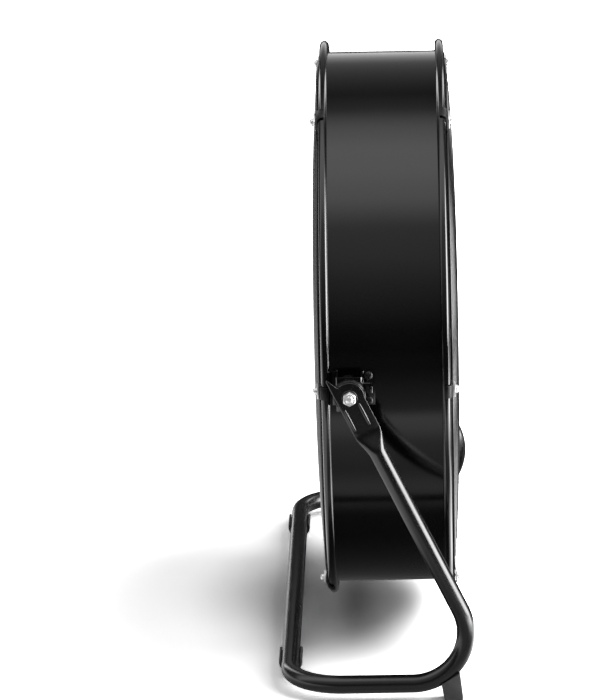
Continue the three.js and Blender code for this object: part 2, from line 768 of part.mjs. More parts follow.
function switchHousing() {
  const bore = spindleRadius + holeGap;
  const boreFloor = switchRearY + spindleDepth + boreEnd;
  return turn([
    [0, boreFloor], [bore, boreFloor], [bore, switchRearY],
    [switchRadius - switchEdge, switchRearY], [switchRadius, switchRearY + switchEdge],
    [switchRadius, switchFrontY], [0, switchFrontY],
  ], 18);
}

// round knob with a raised finger bar, on the drum's axis
function switchKnob() {
  const face = switchRearY - seatGap - knobHeight;
  const baseY = face + knobHeight;
  const base = turn([
    [0, baseY - knobSkirt], [knobRadius - knobTaper, baseY - knobSkirt],
    [knobRadius, baseY], [spindleRadius, baseY],
    [spindleRadius, switchRearY + spindleDepth], [0, switchRearY + spindleDepth],
  ], 18);
  const gripDepth = knobHeight - knobSkirt + knobGripRoot;
  const grip = new THREE.BoxGeometry(2 * (knobRadius - knobGripInset), gripDepth, knobGrip);
  grip.translate(0, face + gripDepth / 2, 0);
  return join(base, grip);
}

// cable gland under the switch housing, with an open bore
function cableGland() {
  const height = glandNutHeight + glandDomeHeight;
  const nut = bar(glandAcrossFlats / Math.sqrt(3), 0, glandNutHeight, 6);
  const dome = turn([
    [0, glandNutHeight / 2], [glandDomeRadius, glandNutHeight / 2],
    [glandDomeRadius, glandNutHeight + glandDomeStraight], [glandMouthRadius, height], [0, height],
  ], 12);
  const bore = bar(glandBoreRadius, glandFloor, height + throughCut, 8);
  const gland = cut(join(nut, dome), bore);
  gland.rotateX(-Math.PI / 2);
  return gland.translate(0, (switchFrontY + switchRearY) / 2, -switchRadius - seatGap);
}

// ---------------------------------------------------------------- rotor

function shaft() {
  return bar(shaftRadius, motorFrontY - shaftInMotor, shaftTip, 12);
}

// pressed cup with a boss for the shaft, open to the rear
function hub() {
  const front = hubY + hubDepth / 2;
  const rear = hubY - hubDepth / 2;
  const bore = shaftRadius + holeGap;
  return revolve([
    [bore, rear + hubBossInset], [hubBossRadius, rear + hubBossInset], [hubBossRadius, front - hubWall],
    [hubRadius - hubWall, front - hubWall], [hubRadius - hubWall, rear], [hubRadius, rear],
    [hubRadius, front - hubEdge], [hubRadius - hubEdge, front], [bore, front],
  ], hubFacets);
}

// one twisted, cambered blade from the hub to its rounded tip
function blade() {
  const root = hubRadius - bladeRootSink;
  const stations = [[0, 1], [0.25, 1], [0.5, 1], [0.75, 1], [0.92, 0.94], [1, 0.7]];
  const chordSteps = 4;
  const rings = stations.map(([share, trim]) => {
    const r = THREE.MathUtils.lerp(root, bladeTip, share);
    const chord = THREE.MathUtils.lerp(bladeRootChord, bladeTipChord, Math.sqrt(share)) * trim;
    const degrees = THREE.MathUtils.lerp(bladeRootPitch, bladeTipPitch, Math.sqrt(share));
    const pitch = THREE.MathUtils.degToRad(degrees);
    const middle = THREE.MathUtils.lerp(hubY, bladeTipY, share);
    const point = (across, lift) => {
      const tangent = across * Math.cos(pitch) - lift * Math.sin(pitch);
      const y = middle + across * Math.sin(pitch) + lift * Math.cos(pitch);
      return new THREE.Vector3(r * Math.cos(tangent / r), y, r * Math.sin(tangent / r));
    };
    const camber = (u) => bladeCamber * chord * (1 - 4 * u * u);
    const shares = Array.from({ length: chordSteps + 1 }, (_, i) => i / chordSteps - 0.5);
    const upper = shares.map((u) => point(u * chord, camber(u) + bladeThickness / 2));
    const lower = shares.map((u) => point(u * chord, camber(u) - bladeThickness / 2)).reverse();
    return [...upper, ...lower];
  });
  const hubRoom = bar(hubRadius + seatGap, hubY - bladeRootChord, hubY + bladeRootChord, hubFacets);
  return cut(loft(rings), hubRoom);
}

function rotor() {
  const shape = blade();
  const blades = Array.from({ length: bladeCount }, (_, i) => {
    return piece(`blade_${i + 1}`, shape.clone().rotateY(i / bladeCount * 2 * Math.PI), bladeMetal);
  });
  return [piece('motor_shaft', shaft(), steel), piece('blade_hub', hub(), castGrey), ...blades];
}

// ---------------------------------------------------------------- the whole fan

const drumPieces = [
  piece('drum_shell', drumShell(), blackPaint),
  piece('grille_front', grille(frontEyeRadius), wirePaint),
  piece('grille_rear', grille(rearEyeRadius).rotateX(Math.PI), wirePaint),
  ...clips('front'),
  ...clips('rear'),
  ...pivotPieces(),
  piece('motor_body', motorBody(), castGrey),
  piece('motor_bar_upper', motorBar(1), blackPaint),
  piece('motor_bar_lower', motorBar(-1), blackPaint),
  piece('clamp_screw_right_upper', clampScrew(1, 1), blackSteel),
  piece('clamp_screw_right_lower', clampScrew(1, -1), blackSteel),
  piece('clamp_screw_left_upper', clampScrew(-1, 1), blackSteel),
  piece('clamp_screw_left_lower', clampScrew(-1, -1), blackSteel),
  piece('switch_housing', switchHousing(), switchPlastic),
  piece('switch_knob', switchKnob(), switchPlastic),
  piece('cable_gland', cableGland(), clipBlack),
];

const fan = new THREE.Group();
fan.add(...stand(), group(0, drumY, drumZ, ...drumPieces, group(0, 0, 0, ...rotor())));

export default fan;
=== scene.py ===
import json
from math import asin, atan2, copysign, cos, degrees, pi, radians, sin, sqrt, tan

import bmesh
import bpy
from mathutils import Matrix, Vector


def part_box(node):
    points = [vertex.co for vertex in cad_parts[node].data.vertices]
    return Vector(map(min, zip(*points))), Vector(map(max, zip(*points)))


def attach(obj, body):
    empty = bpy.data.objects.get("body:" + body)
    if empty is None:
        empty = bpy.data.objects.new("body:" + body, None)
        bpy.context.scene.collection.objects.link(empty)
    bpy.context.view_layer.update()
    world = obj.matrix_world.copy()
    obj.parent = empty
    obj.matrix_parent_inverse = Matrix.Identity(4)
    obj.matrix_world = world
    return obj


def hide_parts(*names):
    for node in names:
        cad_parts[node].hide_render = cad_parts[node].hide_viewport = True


# A drum fan on a bent-tube floor stand. Lengths are in metres: +Z is up, +Y is the way the
# fan blows along the drum's axis, and +X points to the side that faces the camera.

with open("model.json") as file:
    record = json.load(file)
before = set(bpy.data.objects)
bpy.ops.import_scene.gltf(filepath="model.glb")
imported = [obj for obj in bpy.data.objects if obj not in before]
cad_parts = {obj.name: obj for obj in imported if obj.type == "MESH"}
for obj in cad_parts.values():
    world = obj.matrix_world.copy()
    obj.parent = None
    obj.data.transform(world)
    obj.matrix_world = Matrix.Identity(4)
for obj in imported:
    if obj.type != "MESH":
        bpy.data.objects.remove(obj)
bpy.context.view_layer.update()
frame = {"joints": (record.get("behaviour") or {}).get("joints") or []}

JOINTS = {joint["name"]: joint for joint in frame["joints"]}
PIVOT = Vector(JOINTS["drum_tilt"]["pos_m"])
HUB = Vector(JOINTS["fan_spin"]["pos_m"])
MM = 0.001

# ---- sizes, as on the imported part

SEAT = 0.3 * MM  # gap where one piece seats on another

DRUM_LOW, DRUM_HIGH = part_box("drum_shell")
HALF_DEPTH = (DRUM_HIGH.y - DRUM_LOW.y) / 2
BEAD_OUTER = DRUM_HIGH.x
BEAD_STAND = 13 * MM  # from the sheet to the outside of the beads
BEAD_RADIUS = 4.8 * MM  # section of a rolled bead
BEAD_CENTRE = BEAD_OUTER - BEAD_RADIUS
BEAD_Y = HALF_DEPTH - BEAD_RADIUS
DRUM_RADIUS = BEAD_OUTER - BEAD_STAND
SHEET = 1.5 * MM  # thickness of the drum's sheet
DRUM_INNER = DRUM_RADIUS - SHEET

RIM_WIRE = 2.0 * MM  # half the width of a grille's rim wire
RING_WIRE = 1.5 * MM  # half the width of a ring or radial wire
RIM_SEAT = 1.75 * MM  # rim wire's middle in front of the drum's edge
RIM_TO_RING = 5.5 * MM  # from the rim wire to the outermost ring
RING_PITCH = 10 * MM
RADIALS = 6
DOME = 8.5 * MM  # how far a grille bulges out at its middle
RIM_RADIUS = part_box("grille_front")[1].x - RIM_WIRE
RIM_Y = HALF_DEPTH + RIM_SEAT
OUTER_RING = RIM_RADIUS - RIM_TO_RING

TUBE = 10 * MM  # radius of the stand's tube
BEND = 58.5 * MM  # radius of its bends, at the tube's middle
SIDE_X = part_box("stand_tube")[1].x - TUBE
RAIL_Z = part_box("stand_tube")[0].z + TUBE
SADDLE = 2.7 * MM  # wall of a bar foot's saddle
SADDLE_IN = TUBE + SEAT
SADDLE_OUT = SADDLE_IN + SADDLE
CROSS_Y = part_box("bar_foot_right")[0].y + SADDLE_OUT
BEND_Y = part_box("stand_tube")[1].y - TUBE
BEND_CENTRE = Vector((BEND_Y - BEND, RAIL_Z + BEND))
TO_BEND = BEND_CENTRE - Vector((PIVOT.y, PIVOT.z))
LEG_ANGLE = atan2(TO_BEND.x, -TO_BEND.y) + asin(BEND / TO_BEND.length)

FLAT = 3.2 * MM  # thickness of the tube's flat end
FLAT_HALF = 14.9 * MM  # half the width of the flat end
FLAT_LENGTH = 41.5 * MM  # from the pivot to where the flat end starts to swell
FLARE = 29 * MM  # over which it swells to the round tube

# ---- mesh tools

ON_AXIS = 1e-7  # a radius under this lies on the axis


def link(name, data):
    """Puts an object with some data into the scene."""
    item = bpy.data.objects.new(name, data)
    bpy.context.scene.collection.objects.link(item)
    return item


def as_object(name, mesh):
    """Puts a bmesh into the scene as an object, and frees the bmesh."""
    data = bpy.data.meshes.new(name)
    mesh.to_mesh(data)
    mesh.free()
    return link(name, data)


def as_piece(name, mesh, body, node, slot, sharp=30):
    """Turns a bmesh into an object that rides on a body and stands for a node of the frame."""
    bmesh.ops.recalc_face_normals(mesh, faces=mesh.faces)
    limit = radians(sharp)
    for face in mesh.faces:
        face.smooth = True
    for edge in mesh.edges:
        edge.smooth = len(edge.link_faces) == 2 and edge.calc_face_angle(0) < limit
    piece = as_object(name, mesh)
    piece.data.materials.append(MATERIALS[slot])
    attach(piece, body)
    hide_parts(node)


def skin(rings):
    """A closed mesh over a row of rings of points, with a face on each end."""
    mesh = bmesh.new()
    rows = [[mesh.verts.new(point) for point in ring] for ring in rings]
    for here, there in zip(rows, rows[1:]):
        for j in range(len(here)):
            k = (j + 1) % len(here)
            mesh.faces.new((here[j], here[k], there[k], there[j]))
    mesh.faces.new(rows[0])
    mesh.faces.new(rows[-1])
    return mesh


def lathe(outline, segments=96):
    """Turns (radius, y) points about the Y axis. The ends may lie on the axis."""
    mesh = bmesh.new()
    angles = [2 * pi * i / segments for i in range(segments)]
    columns = []
    for radius, y in outline:
        if radius < ON_AXIS:
            columns.append([mesh.verts.new((0, y, 0))] * segments)
        else:
            columns.append([mesh.verts.new((radius * cos(a), y, radius * sin(a)))
                            for a in angles])
    closes = outline[0][0] >= ON_AXIS
    last = len(columns) if closes else len(columns) - 1
    for c in range(last):
        here, there = columns[c], columns[(c + 1) % len(columns)]
        for i in range(segments):
            k = (i + 1) % segments
            corners = list(dict.fromkeys((here[i], here[k], there[k], there[i])))
            if len(corners) > 2:
                mesh.faces.new(corners)
    return mesh


def rod(radius, low, high, segments):
    """A solid cylinder along +Y."""
    return lathe([(0, low), (radius, low), (radius, high), (0, high)], segments)


def prism(outline, depth):
    """Pushes an outline in the X-Y plane out by depth, centred on Z = 0."""
    mesh = bmesh.new()
    low = [mesh.verts.new((x, y, -depth / 2)) for x, y in outline]
    high = [mesh.verts.new((x, y, depth / 2)) for x, y in outline]
    mesh.faces.new(low)
    mesh.faces.new(high)
    for i in range(len(outline)):
        k = (i + 1) % len(outline)
        mesh.faces.new((low[i], low[k], high[k], high[i]))
    bmesh.ops.recalc_face_normals(mesh, faces=mesh.faces)
    return mesh


def soften(mesh, width, angle=35, steps=2):
    """Rounds the edges that are sharper than an angle in degrees."""
    limit = radians(angle)
    edges = [e for e in mesh.edges if len(e.link_faces) == 2 and e.calc_face_angle(0) > limit]
    bmesh.ops.bevel(mesh, geom=edges, offset=width, segments=steps, profile=0.5, affect="EDGES",
                    clamp_overlap=True)
    return mesh


def boolean(mesh, tool, operation="DIFFERENCE"):
    """Cuts one bmesh by another, or joins it to the other, and frees both."""
    objects = []
    for part in (mesh, tool):
        bmesh.ops.recalc_face_normals(part, faces=part.faces)
        objects.append(as_object("scratch", part))
    modifier = objects[0].modifiers.new("cut", "BOOLEAN")
    modifier.operation = operation
    modifier.solver = "EXACT"
    modifier.object = objects[1]
    bpy.context.view_layer.update()
    result = bmesh.new()
    result.from_object(objects[0], bpy.context.evaluated_depsgraph_get())
    for item in objects:
        data = item.data
        bpy.data.objects.remove(item)
        bpy.data.meshes.remove(data)
    return result


def box_mesh(size, centre=(0, 0, 0)):
    """A box with its three sizes, round a centre."""
    mesh = bmesh.new()
    place = Matrix.Translation(centre) @ Matrix.Diagonal((*size, 1))
    bmesh.ops.create_cube(mesh, size=1.0, matrix=place)
    return mesh


def move(mesh, *matrices):
    """Applies the matrices to a bmesh, the first one first."""
    for matrix in matrices:
        bmesh.ops.transform(mesh, matrix=matrix, verts=mesh.verts)
    return mesh


def add(mesh, other):
    """Adds a second closed mesh to a first one as it is."""
    data = bpy.data.meshes.new("scratch")
    other.to_mesh(data)
    other.free()
    mesh.from_mesh(data)
    bpy.data.meshes.remove(data)
    return mesh


def turn(angle, axis):
    """Rotation about an axis of the frame, in degrees."""
    return Matrix.Rotation(radians(angle), 4, axis)


def shift(x, y, z):
    """Move along the frame's axes."""
    return Matrix.Translation((x, y, z))


def arc(centre, radius, start, end, steps):
    """Points round a centre, from one angle to another in degrees."""
    points = []
    for i in range(steps + 1):
        angle = radians(start + (end - start) * i / steps)
        points.append((centre[0] + radius * cos(angle), centre[1] + radius * sin(angle)))
    return points


AT_HUB = Matrix.Translation(HUB)
AT_PIVOT = shift(0, PIVOT.y, PIVOT.z)
TO_RIGHT = turn(-90, "Z")  # a shape made along +Y then points along +X
# an outline's across then becomes +Y, its up becomes +Z and its face looks along +X
UPRIGHT = turn(90, "Z") @ turn(90, "X")
MIRROR = Matrix.Diagonal((-1, 1, 1, 1))
FACINGS = {"front": Matrix.Identity(4), "rear": turn(180, "X")}
SIDES = {"right": 1, "left": -1}


def to_side(mesh, side):
    """Mirrors a +X piece to -X where the side is negative."""
    return mesh if side > 0 else move(mesh, MIRROR)


# ---- materials


def fill(node, values):
    """Gives plain values to a node's inputs, by their names."""
    for name, value in values.items():
        node.inputs[name].default_value = value


def new(tree, kind):
    """A new shader node of a kind."""
    return tree.nodes.new(f"ShaderNode{kind}")


def color_ramp(tree, stops):
    """A ramp of colours. Each stop is a place from 0 to 1 and a colour."""
    node = new(tree, "ValToRGB")
    elements = node.color_ramp.elements
    while len(elements) < len(stops):
        elements.new(0.5)
    for element, (place, color) in zip(elements, stops):
        element.position = place
        element.color = (*color, 1)
    return node


class Shader:
    """A principled material with helpers for the nodes that vary it."""

    def __init__(self, name, color, roughness, metallic=0.0):
        self.material = bpy.data.materials.new(name)
        self.material.use_nodes = True
        self.nodes = self.material.node_tree.nodes
        self.links = self.material.node_tree.links
        self.shader = self.nodes["Principled BSDF"]
        fill(self.shader, {"Base Color": (*color, 1), "Roughness": roughness, "Metallic": metallic})
        self.place = new(self, "TexCoord").outputs["Object"]

    def noise(self, scale, detail, stretch=(1, 1, 1)):
        """A noise over the piece. Stretch squeezes it along an axis."""
        mapping = new(self, "Mapping")
        fill(mapping, {"Scale": stretch})
        self.links.new(self.place, mapping.inputs["Vector"])
        noise = new(self, "TexNoise")
        fill(noise, {"Scale": scale, "Detail": detail, "Roughness": 0.55})
        self.links.new(mapping.outputs["Vector"], noise.inputs["Vector"])
        return noise.outputs["Fac"]

    def spread(self, value, low, high):
        """Maps the middle of a noise onto a range of numbers."""
        node = new(self, "MapRange")
        fill(node, {"From Min": 0.3, "From Max": 0.7, "To Min": low, "To Max": high})
        self.links.new(value, node.inputs["Value"])
        return node.outputs["Result"]

    def ramp(self, value, *stops):
        """Maps a noise onto colours."""
        node = color_ramp(self, stops)
        self.links.new(value, node.inputs["Fac"])
        return node.outputs["Color"]

    def set(self, socket, value):
        """Feeds a value into a socket of the shader."""
        self.links.new(value, self.shader.inputs[socket])

    def bump(self, value, strength, distance):
        """Roughens the surface by a noise, on top of any bump before it."""
        node = new(self, "Bump")
        fill(node, {"Strength": strength, "Distance": distance})
        self.links.new(value, node.inputs["Height"])
        before = self.shader.inputs["Normal"]
        if before.is_linked:
            self.links.new(before.links[0].from_socket, node.inputs["Normal"])
        self.links.new(node.outputs["Normal"], before)


def powder_coat(name, dark, light, rough, peel):
    """Black paint with a faint orange peel and a film of dust in its colour."""
    s = Shader(name, dark, rough)
    s.set("Base Color", s.ramp(s.noise(9, 4), (0.35, dark), (0.75, light)))
    s.set("Roughness", s.spread(s.noise(14, 4), rough * 0.85, rough * 1.25))
    s.bump(s.noise(420, 2), peel, 0.0004)
    s.bump(s.noise(60, 2), peel * 0.4, 0.0008)
    return s.material


def plated(name, color, tint, rough, metallic=1.0):
    """Bright plating with fine wear in its roughness."""
    s = Shader(name, color, rough, metallic)
    s.set("Base Color", s.ramp(s.noise(70, 4), (0.3, tint), (0.6, color)))
    s.set("Roughness", s.spread(s.noise(160, 4), rough * 0.7, rough * 1.5))
    s.bump(s.noise(900, 2), 0.08, 0.0002)
    return s.material


def moulded(name, dark, light, rough, grain, shine=0.5):
    """Moulded plastic or rubber with a fine grain."""
    s = Shader(name, dark, rough)
    s.set("Base Color", s.ramp(s.noise(40, 4), (0.3, dark), (0.75, light)))
    s.set("Roughness", s.spread(s.noise(90, 3), rough * 0.85, min(1.0, rough * 1.15)))
    s.bump(s.noise(grain, 2), 0.25, 0.0004)
    fill(s.shader, {"Specular IOR Level": shine})
    return s.material


def blade_metal(name):
    """Aluminium sheet with a mill grain."""
    color, dull, bright = (0.72, 0.73, 0.74), (0.62, 0.63, 0.64), (0.78, 0.79, 0.80)
    s = Shader(name, color, 0.32, 1.0)
    s.set("Base Color", s.ramp(s.noise(16, 4), (0.3, dull), (0.7, bright)))
    s.set("Roughness", s.spread(s.noise(60, 4, stretch=(1, 1, 14)), 0.24, 0.42))
    s.bump(s.noise(240, 2, stretch=(1, 1, 10)), 0.06, 0.0003)
    return s.material


# after the two colours: roughness and peel for paint, roughness and metal share for plating, and
# roughness, grain and shine for moulded pieces
LOOKS = {
    "drum_paint": (powder_coat, (0.0015, 0.0015, 0.0017), (0.003, 0.003, 0.0033), 0.12, 0.04),
    "stand_paint": (powder_coat, (0.005, 0.005, 0.0053), (0.008, 0.008, 0.0085), 0.22, 0.08),
    "grille_wire": (powder_coat, (0.008, 0.008, 0.0085), (0.014, 0.014, 0.0145), 0.2, 0.06),
    "black_nylon": (moulded, (0.003, 0.003, 0.003), (0.006, 0.006, 0.006), 0.45, 900, 0.25),
    # pale zinc is its own colour; made near-white and half diffuse, it also stands in for part of
    # its bright reflection, a painted sheen
    "zinc_steel": (plated, (0.90, 0.90, 0.89), (0.80, 0.81, 0.80), 0.32, 0.5),
    "black_steel": (plated, (0.03, 0.03, 0.032), (0.02, 0.02, 0.021), 0.3, 0.3),
    "foot_rubber": (moulded, (0.05, 0.05, 0.051), (0.08, 0.08, 0.082), 0.6, 700),
    "motor_paint": (powder_coat, (0.02, 0.021, 0.023), (0.032, 0.033, 0.036), 0.42, 0.3),
    "hub_paint": (powder_coat, (0.03, 0.03, 0.031), (0.045, 0.045, 0.046), 0.4, 0.2),
    "blade_aluminium": (blade_metal,),
    "switch_plastic": (moulded, (0.010, 0.010, 0.010), (0.018, 0.018, 0.018), 0.5, 800),
    "shaft_steel": (plated, (0.5, 0.51, 0.52), (0.4, 0.4, 0.41), 0.3),
}
MATERIALS = {name: make(name, *values) for name, (make, *values) in LOOKS.items()}

# ---- drum shell


def drum_edge():
    """Half of the sheet's outline at one end, from its inner wall round the bead to its outside."""
    mouth = 4.5 * MM
    under = 3.0 * MM
    under_y = HALF_DEPTH - SHEET
    closing = 180 + degrees(asin((under_y - BEAD_Y) / BEAD_RADIUS))
    return (
        arc((DRUM_INNER + mouth, HALF_DEPTH - mouth), mouth, 180, 90, 6)
        + arc((BEAD_CENTRE, BEAD_Y), BEAD_RADIUS, 90, -closing, 22)
        + arc((DRUM_RADIUS + under, under_y - under), under, 90, 180, 5)
    )


def drum_shell():
    """The rolled sheet and both beads, as one closed outline turned about the drum's axis."""
    front = drum_edge()
    rear = [(r, -y) for r, y in reversed(front)]
    mesh = move(lathe(front + rear, 288), AT_HUB)
    as_piece("drum_skin", mesh, "drum", "drum_shell", "drum_paint", 50)


# ---- wire grilles


def crown(radius):
    """Height of a grille's wires above the drum's middle."""
    return RIM_Y + DOME * (1 - (radius / RIM_RADIUS) ** 3)


def torus(radius, y, half, segments, sides=10):
    """A ring of round wire about the drum's axis."""
    return lathe(arc((radius, y), half, 0, 360 - 360 / sides, sides - 1), segments)


def radial(angle, start, end):
    """A straight wire under the rings that follows the dome from ring to rim."""
    weld = 0.5 * MM
    steps = 24
    rings = []
    for i in range(steps + 1):
        r = start + (end - start) * i / steps
        centre = Vector((r, crown(r) - 2 * RING_WIRE + weld, 0))
        rings.append([centre + Vector((0, y, z)) for y, z in arc((0, 0), RING_WIRE, 0, 315, 7)])
    return move(skin(rings), turn(angle, "Y"))


def grille(face, eye):
    """Rim wire, rings down to the eye's radius, and radial wires halfway between the clips."""
    name = f"grille_{face}"
    large = 120 * MM  # wider rings get more segments
    mesh = torus(RIM_RADIUS, RIM_Y, RIM_WIRE, 192)
    radius = OUTER_RING
    while radius > eye:
        add(mesh, torus(radius, crown(radius), RING_WIRE, 144 if radius > large else 72))
        innermost = radius
        radius -= RING_PITCH
    for i in range(RADIALS):
        add(mesh, radial((i + 0.5) * 360 / RADIALS, innermost, RIM_RADIUS))
    as_piece(f"{name}_wires", move(mesh, FACINGS[face], AT_HUB), "drum", name, "grille_wire", 60)


# ---- grille clips

CLIPS = 6  # on each face
CLIP_WIDTH = 14 * MM
CLIP_BLOCK = 2.4 * MM  # thickness of the block on the drum's edge
CLIP_PLATE = 2.0 * MM  # thickness of the square plate under a screw's head
CLIP_BLOCK_IN = RIM_RADIUS + RIM_WIRE + SEAT
CLIP_BLOCK_OUT = DRUM_INNER - 0.9 * MM  # clear of the sheet's rounded mouth
CLIP_SCREW_RING = (DRUM_RADIUS + BEAD_OUTER - 2 * BEAD_RADIUS) / 2
CLIP_TOP = HALF_DEPTH + SEAT + CLIP_BLOCK
PLATE_Y = CLIP_TOP + SEAT


def clip_hook():
    """Moulded clip: a lip under the rim wire, a block on the drum's edge, a hook round the bead."""
    lip, lip_reach = 3.3 * MM, 3 * MM
    wall, top_end, side_end = 2 * MM, 62, -20  # the hook's ends are in degrees about the bead
    inner = BEAD_RADIUS + SEAT
    outer = inner + wall
    lip_top = RIM_Y - RIM_WIRE - SEAT
    lip_low = lip_top - lip
    lip_end = RIM_RADIUS - lip_reach
    bead = (BEAD_CENTRE, BEAD_Y)
    outline = [(lip_end, lip_low), (CLIP_BLOCK_OUT, lip_low), (CLIP_BLOCK_OUT, HALF_DEPTH + SEAT)]
    outline += arc(bead, inner, 90, side_end, 9)
    outline += arc(bead, outer, side_end, top_end, 8)
    outline += [(BEAD_CENTRE, CLIP_TOP), (CLIP_BLOCK_IN, CLIP_TOP), (CLIP_BLOCK_IN, lip_top),
                (lip_end, lip_top)]
    return soften(prism(outline, CLIP_WIDTH), 0.5 * MM, 40)


def cross_recess(size, depth):
    """Cutter for a cross recess, centred on the head's top."""
    slot = size * 0.24
    bar = box_mesh((size, depth * 2, slot))
    return boolean(bar, box_mesh((slot, depth * 2, size)), "UNION")


def pan_head(radius, height, shank, length):
    """Screw along +Y with its seat at y = 0, a domed head and a cross recess."""
    pitch, root = 1.2 * MM, 0.84
    side = 0.35  # share of the head's height that is straight
    thread = []
    y = -length
    while y < -pitch:
        thread += [(shank * root, y), (shank, y + pitch / 2)]
        y += pitch
    outline = [(0, -length)] + thread + [(shank, 0), (radius, 0), (radius, height * side)]
    for angle in (radians(d) for d in (20, 40, 60, 78)):
        outline.append((radius * cos(angle), height * (side + (1 - side) * sin(angle))))
    outline += [(0, height)]
    recess = move(cross_recess(radius * 1.15, height * 0.45), shift(0, height, 0))
    return boolean(lathe(outline, 28), recess)


def clip_screw():
    """Zinc screw on its square plate."""
    square = (CLIP_WIDTH, CLIP_PLATE, CLIP_WIDTH)
    plate = soften(box_mesh(square, (0, CLIP_PLATE / 2, 0)), 0.45 * MM)
    screw = pan_head(radius=4.3 * MM, height=4.6 * MM, shank=1.5 * MM, length=8.8 * MM)
    move(screw, shift(0, CLIP_PLATE - 0.1 * MM, 0))
    return move(add(plate, screw), shift(CLIP_SCREW_RING, PLATE_Y, 0))


def clips():
    """Six clips with their screws round each edge of the drum."""
    for face, facing in FACINGS.items():
        for i in range(CLIPS):
            place = (turn(i * 360 / CLIPS, "Y"), facing, AT_HUB)
            label = f"{face}_{i + 1}"
            hook = move(clip_hook(), *place)
            as_piece(f"hook_{label}", hook, "drum", f"clip_{label}", "black_nylon")
            screw = move(clip_screw(), *place)
            as_piece(f"screw_{label}", screw, "drum", f"clip_screw_{label}", "zinc_steel")


# ---- pivots

BRACKET = 2.5 * MM  # sheet of the brackets
DISC, DISC_RADIUS = 8 * MM, 17.5 * MM  # thickness and radius of a friction disc
WASHER, WASHER_RADIUS = 1.6 * MM, 8.5 * MM
BOLT = 4 * MM  # radius of the pivot bolt
BOLT_HOLE = BOLT + 0.4 * MM
FLAT_INNER = SIDE_X - FLAT / 2
FLAT_OUTER = SIDE_X + FLAT / 2
WEB_OUTER = FLAT_INNER - 2 * SEAT - DISC


def strip(line, thickness, inner_radius, steps=5):
    """Outline of a bent strip of even thickness, to the left of a line, with rounded bends."""
    straight = 1e-6
    points = [Vector(p) for p in line]
    on_line, on_left = [], []
    for i, corner in enumerate(points):
        before = (corner - points[i - 1]).normalized() if i else (points[1] - corner).normalized()
        after = (points[i + 1] - corner).normalized() if i + 1 < len(points) else before
        left_before = Vector((-before.y, before.x))
        left_after = Vector((-after.y, after.x))
        bend = before.x * after.y - before.y * after.x
        if abs(bend) < straight:
            on_line.append(corner)
            on_left.append(corner + left_before * thickness)
            continue
        side = 1 if bend > 0 else -1
        outer_radius = inner_radius + thickness
        line_radius, left_radius = inner_radius, outer_radius
        if side > 0:
            line_radius, left_radius = outer_radius, inner_radius
        back = line_radius * tan(abs(before.angle(after)) / 2)
        centre = corner - before * back + left_before * side * line_radius
        begin = atan2(*reversed(-left_before * side))
        end = atan2(*reversed(-left_after * side))
        while end - begin > pi:
            end -= 2 * pi
        while begin - end > pi:
            end += 2 * pi
        for k in range(steps + 1):
            angle = begin + (end - begin) * k / steps
            direction = Vector((cos(angle), sin(angle)))
            on_line.append(centre + direction * line_radius)
            on_left.append(centre + direction * left_radius)
    return [tuple(p) for p in on_line + on_left[::-1]]


def pivot_bracket():
    """Hat-shaped bracket with the tab that stops the tilt, for the +X side."""
    foot = DRUM_RADIUS + SEAT + 0.05 * MM
    web = WEB_OUTER - BRACKET
    width, bend = 38 * MM, 1.2 * MM
    half = 14.5 * MM
    front_foot, rear_foot = 12.5 * MM, 5 * MM
    inside = half - BRACKET
    line = [(foot, half + front_foot), (foot, inside), (web, inside), (web, -inside),
            (foot, -inside), (foot, -half - rear_foot)]
    hat = soften(prism(strip(line, BRACKET, bend), width), 0.5 * MM, 50)
    tab_in, tab_root, tab_width, tab_z = 20 * MM, 4 * MM, 7.9 * MM, 8.05 * MM
    tab_line = [(web, inside - tab_root), (web, tab_in + BRACKET), (FLAT_OUTER, tab_in + BRACKET)]
    tab = soften(prism(strip(tab_line, BRACKET, bend), tab_width), 1.15 * MM, 50, 4)
    move(tab, shift(0, 0, tab_z))
    return move(boolean(hat, tab, "UNION"), AT_PIVOT)


def tube_disc(outer, low, high, chamfer):
    """A flat ring about +Y, with a hole for the bolt and a chamfered rim."""
    outline = [(BOLT_HOLE, low), (outer - chamfer, low), (outer, low + chamfer),
               (outer, high - chamfer), (outer - chamfer, high), (BOLT_HOLE, high)]
    return lathe(outline, 64)


def hex_nut(low):
    """M8 nut with chamfered corners and a bore, along +Y."""
    flats, height, chamfer = 13 * MM, 6.5 * MM, 1.3 * MM
    corner = flats / sqrt(3)
    top, beyond = flats * 0.47, corner * 1.02  # the chamfer cuts the corners and not the flats
    angles = [radians(60 * i + 30) for i in range(6)]
    body = prism([(corner * cos(a), corner * sin(a)) for a in angles], height)
    move(body, turn(90, "X"), shift(0, height / 2, 0))
    turned = [(0, 0), (top, 0), (beyond, chamfer), (beyond, height - chamfer), (top, height),
              (0, height)]
    body = boolean(body, lathe(turned, 48), "INTERSECT")
    bore = rod(BOLT + 0.2 * MM, -MM, height + MM, 40)
    return move(boolean(body, bore), shift(0, low, 0))


def pivot_bolt(head, end):
    """Bolt along +Y with its head inside the bracket and its thread past the nut."""
    radius, top, height, edge = 9 * MM, 6.3 * MM, 3 * MM, 0.8 * MM
    pitch, root, point = 1.25 * MM, 0.88, 0.9 * MM
    outline = [(0, head - height), (top, head - height), (radius, head - edge), (radius, head),
               (BOLT, head)]
    y = FLAT_OUTER
    while y < end - 1.6 * MM:
        outline += [(BOLT, y), (BOLT * root, y + pitch / 2)]
        y += pitch
    outline += [(BOLT, y), (BOLT - point, end), (0, end)]
    return lathe(outline, 40)


def pivot_piece(mesh, part, name, look, sharp=30):
    """Puts a pivot piece that was made for +X on the side that its name says."""
    placed = to_side(mesh, SIDES[name])
    as_piece(f"{part}_{name}_form", placed, "drum", f"{part}_{name}", look, sharp)


